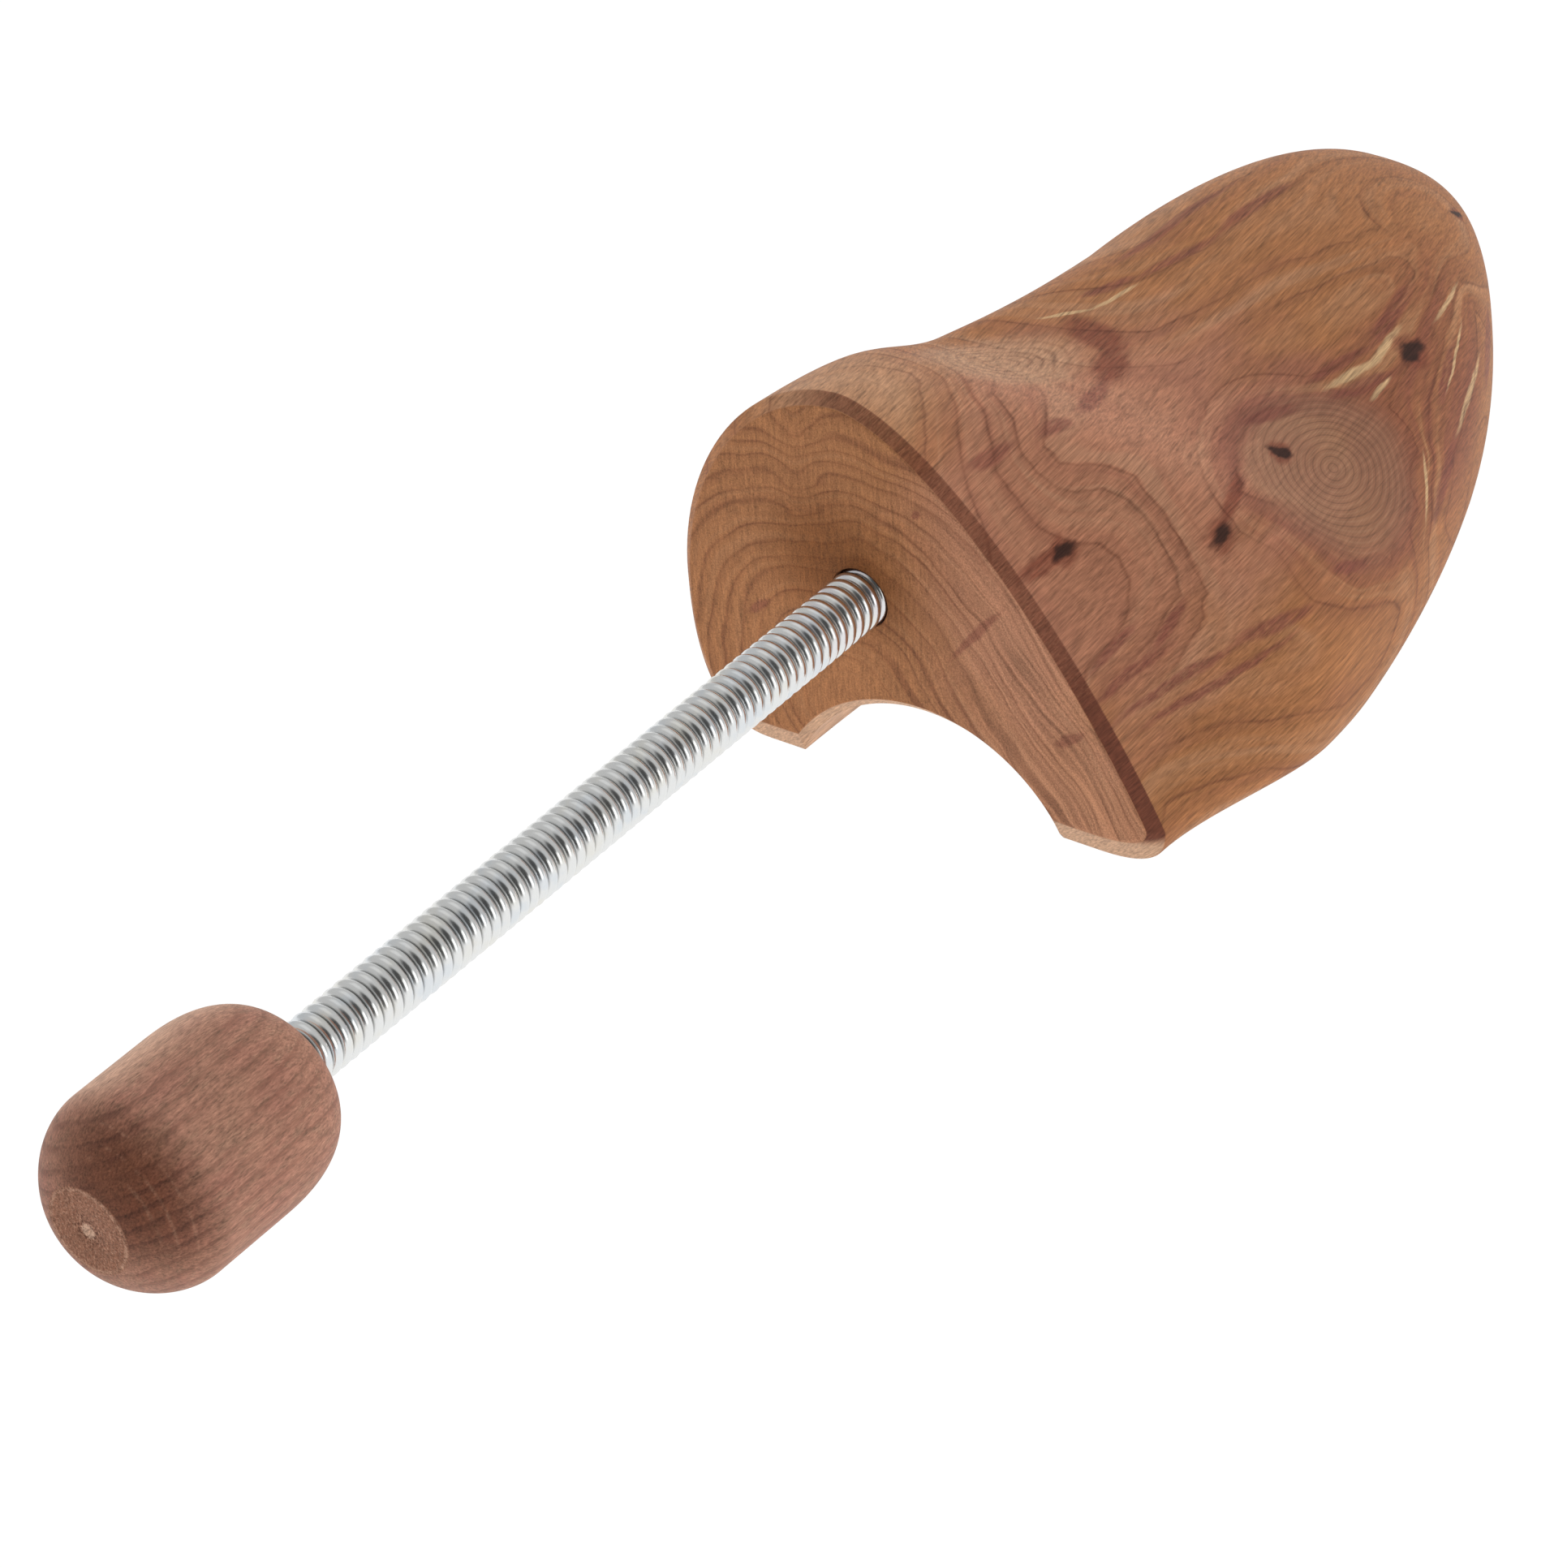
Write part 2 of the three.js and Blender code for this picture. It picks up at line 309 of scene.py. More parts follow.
# Toe block
block = {
    "length": 145, "chamfer": 2, "footBevel": 4.6, "edgeRound": 0.3, "flatSole": 92,
    "crown": ((0, 62.8), (20, 56.2), (45, 43.4), (85, 38.1)),
    "crownSide": ((0, 2.2), (45, 10.7), (85, -2.1), (145, -4.1)),
    "rearLateral": (-48.4, 6.8), "rearMedial": (32, 25), "rearSole": (-36.8, 19),
    "ballLateral": (31.8, -58.4, 11.8), "ballMedial": (57.4, 24.6, 14), "ballBlend": 43.5,
    "toeTip": (-4.1, 7.5), "leanLength": 87,
    "crownPower": (1.6, 2.46), "slopePower": (1.05, 2.46), "medialPower": (1.9, 1.9),
    "underPower": (2.5, 2.6), "lateralEdge": 2.6,
    "toePowers": (1.7, 2, 1.92),            # lateral, medial, top
    "soleShares": (0.9, 0.77),              # lateral, medial
    "lateralShares": (0.05, 0.35), "medialShare": 0.46,
    "boreRadius": 4.62, "boreDepth": 26, "drillPoint": 2.4, "mouthRound": 0.15,
    "archRadius": 24.7, "archSide": -9.2, "archDrop": 10, "archSlope": 15, "archLength": 110,
    "archChamfer": 1.6, "overrun": 8, "sharpAngle": 24,
    "stations": 170, "crowding": 1.9, "quarterSteps": 30, "segments": 160,
}


def curveThrough(points, x):
    points = np.array(points, float)
    last = len(points) - 1
    slopes = [(points[min(last, i + 1), 1] - points[max(0, i - 1), 1])
              / (points[min(last, i + 1), 0] - points[max(0, i - 1), 0]) for i in range(last + 1)]
    index = 0
    while index < last - 1 and x > points[index + 1, 0]:
        index += 1
    width = points[index + 1, 0] - points[index, 0]
    share = min(max((x - points[index, 0]) / width, 0), 1)
    pull = share * (1 - share) * width
    return between(points[index, 1], points[index + 1, 1], eased(share)) \
        + pull * (slopes[index] * (1 - share) - slopes[index + 1] * share)


def closing(x, start, power):
    share = min(max((x - start) / (block["length"] - start), 0), 1)
    return max(0, 1 - share ** power) ** (1 / power)


def blockRing(x, inset):
    # one cross-section of the block, x ahead of its rear face, drawn in by inset
    tipSide, tipHeight = block["toeTip"]
    toBall = eased(x / block["ballBlend"])
    ballX, ballReach, ballHeight = block["ballLateral"]
    innerX, innerReach, innerHeight = block["ballMedial"]
    toeLateral, toeMedial, toeTop = block["toePowers"]
    toeBoxX = block["crown"][-1][0]
    crown = curveThrough(block["crown"], min(x, toeBoxX))
    crownSide = curveThrough(block["crownSide"], x)
    top = between(tipHeight, crown, closing(x, toeBoxX, toeTop))
    lateral = between(tipSide, between(block["rearLateral"][0], ballReach, eased(x / ballX)),
                      closing(x, ballX, toeLateral))
    medial = between(tipSide, between(block["rearMedial"][0], innerReach, eased(x / innerX)),
                     closing(x, innerX, toeMedial))
    risen = min(max((x - block["flatSole"]) / (block["length"] - block["flatSole"]), 0), 1)
    sole = tipHeight * risen ** 2
    lateralHeight = min(max(between(block["rearLateral"][1], ballHeight, toBall),
                            between(sole, top, block["lateralShares"][0])),
                        between(sole, top, block["lateralShares"][1]))
    medialHeight = min(between(block["rearMedial"][1], innerHeight, toBall),
                       between(sole, top, block["medialShare"]))
    soleLateral = between(block["rearSole"][0],
                          between(tipSide, lateral, block["soleShares"][0]), toBall) + inset / 2
    soleMedial = between(block["rearSole"][1],
                         between(tipSide, medial, block["soleShares"][1]), toBall) - inset / 2
    top, sole = top - inset, sole + inset * block["footBevel"] / block["chamfer"]
    lateral, medial, lateralHeight = lateral + inset, medial - inset, lateralHeight + inset / 2
    steps = block["quarterSteps"]
    power = {name: between(*block[name], toBall)
             for name in ("crownPower", "slopePower", "medialPower", "underPower")}
    outline = []

    def addQuarter(points, fromSide, fromHeight, toSide, toHeight):
        for across, up in points:
            outline.append((between(fromSide, toSide, across), between(toHeight, fromHeight, up)))

    addQuarter(quarter(steps, power["crownPower"], power["slopePower"]),
               crownSide, top, lateral, lateralHeight)
    addQuarter(quarter(steps, block["lateralEdge"])[::-1][1:], soleLateral, sole, lateral, lateralHeight)
    addQuarter(quarter(steps, power["underPower"]), soleMedial, sole, medial, medialHeight)
    addQuarter(quarter(steps, power["medialPower"])[::-1][1:-1], crownSide, top, medial, medialHeight)
    lean = math.tan(math.radians(springLine["tilt"])) * max(0, 1 - x / block["leanLength"])
    rearX, _, mouthHeight = springLine["mouth"]
    return np.array([(rearX + x + (height - mouthHeight) * lean, side, height)
                     for side, height in outline]) * mm


def archStart():
    below = springLine["mouth"][2] / math.cos(math.radians(springLine["tilt"])) + block["archDrop"]
    return lineMatrix @ Matrix.Translation(Vector((0, block["archSide"], -below)) * mm)


def blockCutters():
    radius, depth = block["boreRadius"], block["boreDepth"]
    overrun, soft = block["overrun"], block["mouthRound"]
    bore = [(0.01, -overrun), (radius + soft, -overrun), (radius + soft, 0), (radius, soft * 1.5),
            (radius, depth), (0.01, depth + block["drillPoint"])]
    wide = block["archRadius"]
    edge = block["archChamfer"]
    scoop = [(0.01, -overrun), (wide, -overrun), (wide, block["archLength"]), (0.01, block["archLength"])]
    bevel = [(0.01, -overrun), (wide + edge + overrun, -overrun), (wide, edge), (0.01, edge)]
    low = archStart()
    slope = low @ Matrix.Rotation(math.radians(block["archSlope"] - springLine["tilt"]), 4, "Y")
    count = block["segments"]
    return [placed(turnedRings(bore, count // 2), lineMatrix), placed(turnedRings(scoop, count), slope),
            placed(turnedRings(bevel, count), low)]


def makeToeBlock(material):
    chamfer, soft = block["chamfer"], block["edgeRound"]
    profile = rounded((0, chamfer + soft), (0, chamfer), (soft * 0.7, chamfer - soft * 0.7))
    profile += rounded((chamfer - soft * 0.7, soft * 0.7), (chamfer, 0), (chamfer + soft, 0))
    count = block["stations"]
    start = chamfer + soft
    for station in range(1, count):
        share = (1 - station / count) ** block["crowding"]
        profile.append((between(block["length"], start, share), 0))
    rings = [blockRing(x, inset) for x, inset in profile]
    low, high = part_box("toe_block")
    rearX = springLine["mouth"][0] * mm
    fullLength = max(ring[:, 0].max() for ring in rings) - rearX
    for ring in rings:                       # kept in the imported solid's box
        ahead = ring[:, 0] > rearX
        ring[ahead, 0] = rearX + (ring[ahead, 0] - rearX) * min(1, (high.x - rearX) / fullLength)
        np.clip(ring, np.array(low), np.array(high), out=ring)
    piece = meshObject("toeBlock", *ringSkin(rings), material)
    for cutterRings in blockCutters():
        cutter = meshObject("cutter", *ringSkin(cutterRings), material)
        cut = piece.modifiers.new("cut", "BOOLEAN")
        cut.operation = "DIFFERENCE"
        cut.solver = "EXACT"
        cut.object = cutter
        bakeModifiers(piece)
        bpy.data.objects.remove(cutter)
    smooth(piece.data, block["sharpAngle"])
    return piece


def bakeModifiers(piece):
    bpy.context.view_layer.update()
    shown = piece.evaluated_get(bpy.context.evaluated_depsgraph_get())
    mesh = bpy.data.meshes.new_from_object(shown)
    piece.modifiers.clear()
    piece.data = mesh


# Heel knob
knob = {
    "length": 37, "diameter": 27.8, "flat": 11.9, "rearLength": 10.5, "rearPower": (1.42, 1.9),
    "frontLength": 13.9, "frontPower": 2.37, "lip": 0.4, "boreRadius": 4.8, "boreDepth": 21,
    "drillPoint": 2.4, "mark": (1.6, 0.6), "flatRound": 0.35, "springGap": 126,
    "segments": 160, "steps": 36, "sharpAngle": 40,
}


def makeHeelKnob(material):
    radius, flat = knob["diameter"] / 2, knob["flat"] / 2
    lip = knob["boreRadius"] + knob["lip"]
    length, bottom = knob["length"], knob["length"] - knob["boreDepth"]
    markWide, markDeep = knob["mark"]
    profile = [(0.02, markDeep), (markWide / 2, 0), (flat - knob["flatRound"], 0)]
    profile += [(between(flat, radius, across), knob["rearLength"] * (1 - up))
                for across, up in quarter(knob["steps"], *knob["rearPower"])[1:]]
    profile += [(between(lip, radius, across), length - knob["frontLength"] * (1 - up))
                for across, up in quarter(knob["steps"], knob["frontPower"])[::-1]]
    profile += [(knob["boreRadius"], length), (knob["boreRadius"], bottom),
                (0.02, bottom - knob["drillPoint"])]
    place = lineMatrix @ Matrix.Translation(Vector((-(knob["springGap"] + length), 0, 0)) * mm)
    rings = placed(turnedRings(profile, knob["segments"]), place)
    low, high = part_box("heel_knob")
    for ring in rings:
        np.clip(ring, np.array(low), np.array(high), out=ring)
    return meshObject("heelKnob", *ringSkin(rings), material, knob["sharpAngle"])


# Coil spring, wound by Geometry Nodes
spring = {
    "outer": 9, "wire": 1.9, "pitch": 2.015, "inKnob": 20, "free": 126, "inBlock": 25,
    "stepsPerTurn": 40, "wireSides": 14,
}


def springTree(material):
    tree = bpy.data.node_groups.new("woundSpring", "GeometryNodeTree")
    sizes = (("Turns", "NodeSocketFloat"), ("Pitch", "NodeSocketFloat"), ("Turn Radius", "NodeSocketFloat"),
             ("Wire Radius", "NodeSocketFloat"), ("Steps per Turn", "NodeSocketInt"),
             ("Wire Sides", "NodeSocketInt"), ("Start Angle", "NodeSocketFloat"),
             ("Start", "NodeSocketVector"), ("Lean", "NodeSocketFloat"))
    for name, kind in sizes:
        tree.interface.new_socket(name, in_out="INPUT", socket_type=kind)
    tree.interface.new_socket("Geometry", in_out="OUTPUT", socket_type="NodeSocketGeometry")

    def add(kind, settings=None, sockets=None):
        node = tree.nodes.new(kind)
        for name, value in (settings or {}).items():
            setattr(node, name, value)
        for key, value in (sockets or {}).items():
            if isinstance(value, bpy.types.NodeSocket):
                tree.links.new(value, node.inputs[key])
            else:
                node.inputs[key].default_value = value
        return node.outputs

    given = add("NodeGroupInput")
    height = add("ShaderNodeMath", {"operation": "MULTIPLY"}, {0: given["Turns"], 1: given["Pitch"]})[0]
    coil = add("GeometryNodeCurveSpiral", None, {
        "Resolution": given["Steps per Turn"], "Rotations": given["Turns"],
        "Start Radius": given["Turn Radius"], "End Radius": given["Turn Radius"],
        "Height": height, "Reverse": False})[0]
    circle = add("GeometryNodeCurvePrimitiveCircle", None, {
        "Resolution": given["Wire Sides"], "Radius": given["Wire Radius"]})[0]
    wire = add("GeometryNodeCurveToMesh", None, {
        "Curve": coil, "Profile Curve": circle, "Fill Caps": True})[0]
    spot = add("ShaderNodeSeparateXYZ", None, {0: add("GeometryNodeInputPosition")[0]})
    flat = add("ShaderNodeCombineXYZ", None, {0: spot[0], 1: spot[1]})[0]
    reach = add("ShaderNodeVectorMath", {"operation": "LENGTH"}, {0: flat})["Value"]
    rise = add("ShaderNodeMath", {"operation": "SUBTRACT"}, {0: reach, 1: given["Turn Radius"]})[0]
    crest = add("ShaderNodeMath", {"operation": "DIVIDE"}, {0: rise, 1: given["Wire Radius"]})[0]
    marked = add("GeometryNodeStoreNamedAttribute", {"data_type": "FLOAT", "domain": "POINT"},
                 {"Geometry": wire, "Name": "crest", "Value": crest})[0]
    spun = add("ShaderNodeCombineXYZ", None, {2: given["Start Angle"]})[0]
    started = add("GeometryNodeTransform", None, {"Geometry": marked, "Rotation": spun})[0]
    leant = add("ShaderNodeCombineXYZ", None, {1: given["Lean"]})[0]
    stood = add("GeometryNodeTransform", None, {
        "Geometry": started, "Rotation": leant, "Translation": given["Start"]})[0]
    soft = add("GeometryNodeSetShadeSmooth", None, {"Geometry": stood})[0]
    real = add("GeometryNodeRealizeInstances", None, {"Geometry": soft})[0]
    dressed = add("GeometryNodeSetMaterial", None, {"Geometry": real, "Material": material})[0]
    add("NodeGroupOutput", None, {0: dressed})
    return tree


def makeSpringHalf(name, tree, fromAlong, turns, turnsBefore):
    piece = bpy.data.objects.new(name, bpy.data.meshes.new(name))
    bpy.context.scene.collection.objects.link(piece)
    wound = piece.modifiers.new("wound", "NODES")
    wound.node_group = tree
    values = {
        "Turns": turns, "Pitch": spring["pitch"] * mm,
        "Turn Radius": (spring["outer"] - spring["wire"]) / 2 * mm, "Wire Radius": spring["wire"] / 2 * mm,
        "Steps per Turn": spring["stepsPerTurn"], "Wire Sides": spring["wireSides"],
        "Start Angle": -2 * math.pi * (turnsBefore % 1), "Start": tuple(onLine(fromAlong)),
        "Lean": math.radians(90 + springLine["tilt"])}
    for item in tree.interface.items_tree:
        if item.in_out == "INPUT":
            wound[item.identifier] = values[item.name]
    bakeModifiers(piece)
    piece.data.name = name
    return piece


# Growth lines drawn on the block: ring number and the places it runs through
growthLines = (
    (-1, ((-50.1, -0.7, 56.4), (-56.7, -5.8, 56.9), (-62.0, -9.5, 56.1))),
    (0, ((-50.0, -4.9, 55.6), (-52.6, -7.7, 55.4), (-55.8, -10.1, 55.0), (-61.1, -13.9, 52.8),
         (-63.0, -15.7, 51.5), (-65.5, -19.5, 48.3))),
    (1, ((-48.6, -7.2, 54.4), (-50.5, -10.7, 53.9), (-53.1, -13.1, 53.5), (-54.8, -14.7, 52.5),
         (-57.9, -17.1, 50.8), (-58.7, -19.8, 49.0), (-59.3, -22.2, 46.7), (-59.6, -24.4, 44.7),
         (-58.9, -26.6, 43.0), (-57.2, -29.6, 41.4), (-54.9, -31.9, 40.5), (-55.0, -34.0, 38.6),
         (-55.4, -35.9, 36.5), (-56.8, -37.2, 34.4), (-59.3, -37.6, 31.6), (-62.2, -37.1, 30.0),
         (-66.0, -36.5, 28.4), (-69.2, -36.1, 26.5))),
    (2, ((-46.8, -9.7, 53.4), (-48.0, -12.9, 52.9), (-49.5, -15.2, 52.2), (-52.2, -17.3, 51.5),
         (-53.7, -19.6, 50.1), (-53.8, -22.2, 48.6), (-53.7, -24.3, 47.0), (-52.5, -26.7, 45.9),
         (-49.8, -28.2, 45.3), (-48.3, -30.0, 44.8), (-47.8, -33.6, 42.9), (-48.2, -36.1, 40.7),
         (-49.0, -38.5, 38.5), (-49.9, -40.7, 36.0), (-51.1, -42.3, 33.3), (-54.5, -41.2, 31.8),
         (-58.0, -40.5, 29.2), (-62.2, -38.9, 27.6), (-66.8, -37.3, 26.8))),
    (3, ((-46.9, -33.8, 43.1), (-47.3, -36.9, 40.6), (-48.4, -39.9, 37.7), (-49.4, -41.8, 35.2),
         (-50.7, -43.9, 31.9), (-51.3, -44.6, 30.6), (-54.7, -44.2, 28.1), (-60.8, -42.2, 24.6),
         (-66.7, -40.2, 23.0), (-69.4, -39.3, 22.1))),
    (3.5, ((-49.6, -21.7, 49.3), (-44.5, -26.3, 47.2), (-37.1, -30.6, 43.5), (-23.6, -23.4, 40.6),
           (-29.8, -19.4, 43.6), (-45.4, -44.1, 35.2), (-45.9, -48.0, 31.2), (-43.3, -54.8, 22.9),
           (-26.1, -57.3, 14.1), (-54.2, -48.3, 22.9), (-61.7, -44.7, 20.0), (-2.0, -23.6, 37.8),
           (5.8, -27.1, 36.5), (14.2, -30.2, 34.9), (22.8, -30.6, 33.7))),
    (4, ((-16.9, -56.2, 13.2), (-23.3, -56.7, 16.3), (-29.9, -56.9, 20.1), (-34.4, -55.9, 22.9),
         (-38.1, -54.5, 25.8), (-38.9, -52.9, 27.7), (-38.2, -50.4, 31.2), (-38.0, -48.5, 33.0),
         (-39.2, -46.6, 34.6), (-40.2, -45.0, 36.1), (-39.5, -43.3, 37.5), (-38.7, -41.3, 38.5),
         (-37.3, -38.3, 40.1), (-33.6, -35.0, 40.8), (-28.2, -31.5, 40.1), (-22.2, -28.6, 39.3),
         (-16.6, -27.0, 38.5), (-11.8, -27.2, 37.9), (-8.0, -28.7, 37.2), (-3.5, -33.8, 35.3),
         (0.3, -35.5, 34.4), (7.9, -36.4, 33.3), (16.0, -35.8, 32.4), (23.7, -34.1, 32.0),
         (29.7, -32.7, 31.3))),
    (4, ((-70.7, -42.4, 16.0), (-67.1, -44.4, 16.4), (-62.2, -46.7, 16.4), (-58.1, -49.5, 16.4),
         (-52.1, -54.1, 14.4), (-44.1, -57.6, 12.0), (-38.4, -58.2, 9.1))),
    (5, ((-68.3, -47.7, 10.0), (-60.8, -51.0, 9.5), (-53.7, -54.5, 8.3))),
    (5, ((-4.0, -38.0, 33.7), (-10.5, -34.7, 35.6), (-14.8, -32.8, 36.7), (-18.9, -32.6, 37.4),
         (-24.6, -34.6, 38.0), (-30.2, -37.7, 38.6), (-34.8, -41.1, 38.2), (0.8, -43.0, 30.5),
         (1.5, -45.6, 28.4), (1.5, -47.9, 26.1), (-0.1, -49.8, 24.2), (-6.7, -53.3, 20.0),
         (-12.3, -55.0, 17.9), (-19.3, -55.8, 19.5), (-27.2, -55.1, 23.6))),
    (4, ((-17.6, -14.2, 40.7), (-14.8, -17.2, 40.0), (-10.8, -18.8, 39.3), (-5.3, -19.5, 38.7),
         (1.0, -20.5, 38.2), (6.4, -22.0, 37.6), (12.2, -23.3, 36.8), (19.8, -25.6, 35.7),
         (24.1, -27.2, 34.8), (29.5, -28.1, 33.5), (35.3, -28.2, 32.0), (42.7, -26.7, 30.2),
         (50.0, -24.8, 27.6))),
    (5, ((-8.5, -11.2, 39.8), (-1.3, -13.7, 39.0), (4.8, -15.5, 38.5), (11.3, -16.4, 37.8),
         (17.2, -17.6, 37.3), (21.1, -20.8, 36.7), (28.6, -23.2, 35.2), (35.5, -24.7, 33.4))),
    (6, ((2.6, -2.2, 39.3), (8.1, -3.7, 38.8), (13.0, -4.9, 38.3), (22.3, -6.2, 37.7),
         (31.7, -6.2, 36.6), (40.1, -6.7, 34.8))),
    (7, ((11.6, 4.2, 37.7), (19.9, 2.3, 37.3), (30.0, 1.4, 36.3), (38.9, 1.1, 34.5))),
    (6, ((-7.7, -54.4, 15.0), (-1.9, -52.1, 20.2), (3.5, -48.9, 24.3), (9.8, -45.7, 26.3),
         (16.9, -43.3, 26.7), (23.6, -40.4, 27.3), (31.0, -37.8, 26.8), (37.3, -35.7, 25.8))),
    (7, ((-0.3, -53.0, 13.4), (8.0, -50.3, 18.7), (17.3, -46.9, 20.2), (26.9, -43.4, 20.1),
         (32.7, -40.6, 21.4), (36.4, -37.8, 23.3))),
    # inner side, sole and toe
    (0.5, ((-67, 20, 48),)), (2.5, ((-66, 31, 32),)), (4.5, ((-66, 29, 14),)),
    (3.5, ((-40, 24, 40),)), (5, ((-40, 29, 26),)), (6.5, ((-40, 25, 10),)),
    (7, ((-8, 20, 33),)), (8.2, ((-8, 25, 18),)), (9.4, ((-8, 20, 5),)),
    (8, ((25, 16, 28), (55, 6, 22))), (9, ((25, 22, 15), (60, 8, 12))), (10, ((25, 18, 4),)),
    (6, ((-60, -30, 0), (-20, -45, 0), (20, -40, 0), (62, -18, 18))),
    (8, ((-20, -15, 0), (20, -15, 0), (50, -20, 3))), (7, ((70, -10, 12),)),
)


ringField = {"give": 0.08, "leastSlope": 0.03, "batch": 4000}


def markRings(piece):
    # smooth field through the drawn lines, and its slope per millimetre along the skin
    spots = np.array([spot for _, line in growthLines for spot in line])
    rings = np.array([ring for ring, line in growthLines for _ in line], float)
    count = len(spots)
    apart = np.linalg.norm(spots[:, None] - spots[None], axis=2)
    flat = np.hstack([np.ones((count, 1)), spots])
    system = np.block([[apart - ringField["give"] * np.eye(count), flat], [flat.T, np.zeros((4, 4))]])
    weights = np.linalg.solve(system, np.concatenate([rings, np.zeros(4)]))
    mesh = piece.data
    places = np.array([vertex.co for vertex in mesh.vertices]) / mm
    normals = np.array([vertex.normal for vertex in mesh.vertices])
    field, slope = np.zeros(len(places)), np.zeros(len(places))
    for start in range(0, len(places), ringField["batch"]):
        part = slice(start, start + ringField["batch"])
        away = places[part, None] - spots[None]
        reach = np.maximum(np.linalg.norm(away, axis=2), 0.001)
        field[part] = reach @ weights[:count] + weights[count] + places[part] @ weights[count + 1:]
        rise = np.einsum("ijk,ij->ik", away, weights[:count] / reach) + weights[count + 1:]
        rise -= normals[part] * np.sum(rise * normals[part], axis=1)[:, None]
        slope[part] = np.linalg.norm(rise, axis=1)
    for name, values in (("ring", field), ("ringSlope", np.maximum(slope, ringField["leastSlope"]))):
        mark = mesh.attributes.new(name, "FLOAT", "POINT")
        mark.data.foreach_set("value", values.astype(np.float32))


# Finishes
cedar = {
    "pith": ((2.5, 15), (-20, -14)),         # y and z of the growth rings' middle line on the rear face
    "ringSpacing": 2.7, "unevenRings": 2.6,
    "ringDip": (9.3, 3.4, 3),                # side, width and depth of the dip at the crown
    "lineWidth": 0.3, "shadeWidth": 2.6, "grainStrength": 2.6,
    "knotRings": 0.78,                       # to the millimetre
    "pink": linear(168, 114, 87), "orange": linear(160, 106, 66), "pale": linear(184, 144, 112),
    "late": linear(96, 52, 36), "bark": linear(52, 33, 27), "rust": linear(120, 62, 45),
    "cream": linear(206, 172, 128), "purple": linear(124, 68, 57), "knotGrey": linear(146, 106, 82),
    "knotLine": linear(104, 72, 56), "golden": linear(164, 112, 74), "boreDark": linear(120, 68, 26),
    # chamfer colour is end grain darkened further as painted shade; foot colour is painted bounce light from
    # the floor
    "chamfer": linear(110, 62, 45), "leg": linear(186, 134, 104), "foot": linear(202, 168, 140),
    "core": (None, -12, 10), "fromRear": (0, None, None),   # what streaks point to, inside the block
    "mainKnot": ((-16.3, -45.3, 31.4), (0.13, -0.57, 0.81)),       # middle and way out
    "ridgeKnot": ((-31.5, -0.5, 46.3), (0.45, -0.03, 0.89)), "ridgeSizes": (9.5, 16, 7),
    "pinkPatch": ((-44, -29, 43), (0, 0, 0.35), (50, 31, 29)),     # middle, turn and half sizes
    "crownPatch": ((-58, 6, 60), (0, 0, 0), (18, 16, 9)),
    "toePatch": ((16, -43, 26), (0, 0, 0.5), (30, 15, 15)),
    "boreShade": (4, 4),                     # painted shade, darkest a little inwards and up from the bore
}
# streaks and marks: ends, then half width
barkPockets = (
    (((-21.3, -37.9, 36.1), (-19.3, -40.6, 34.4)), 1.3),
    (((-45.2, -42.8, 36.8), (-39.9, -42.9, 37.8)), 1.5),
    (((11.5, -40.5, 30.5), (17.8, -40.4, 29.0)), 1.9),
    (((-61.3, -27.7, 41.2), (-57.5, -28.9, 41.9)), 1.4),
    (((54.1, -24.7, 25.0), (57.1, -24.8, 22.3)), 0.8),
)
rustTails = (
    (((-66.8, -25.8, 40.9), (-59.0, -28.4, 41.6)), 1.6),
    (((-42.0, -42.8, 38.0), (-30.7, -38.8, 38.1)), 1.3),
    (((-11.4, 1.5, 40.7), (-15.4, -10.5, 40.9)), 3.6),
    (((-14.8, -9.0, 40.7), (-24.5, -13.5, 42.6)), 3.2),
)
rearMarks = (
    (((-70.6, -15.3, 26.4), (-69.3, -23.9, 36.7)), 0.8),
    (((-71.7, -32.0, 17.1), (-71.3, -36.8, 20.7)), 1.0),
    (((-68.1, -9.9, 47.1), (-67.9, -10.8, 48.4)), 0.7),
    (((-71.0, 19.8, 23.0), (-70.7, 16.1, 25.9)), 0.8),
)
creamStreaks = (
    (((-3.4, -36.9, 34.2), (8.0, -38.6, 32.2)), 0.75),
    (((6.0, -38.5, 32.4), (17.0, -36.9, 31.5)), 0.7),
    (((0.2, -42.1, 31.3), (6.6, -41.4, 30.8)), 0.5),
    (((12.2, -48.7, 19.7), (29.8, -42.5, 19.4)), 0.75),
    (((24.2, -38.8, 28.6), (36.5, -35.6, 26.3)), 0.45),
    (((15.0, -45.6, 24.3), (29.3, -40.1, 24.9)), 0.35),
    (((0.6, -50.0, 23.7), (-6.3, -53.8, 17.9)), 0.5),
    (((-13.6, 5.0, 41.1), (-7.7, -0.3, 40.2)), 0.5),
    (((-7.7, -0.3, 40.2), (1.2, -2.4, 39.4)), 0.5),
)
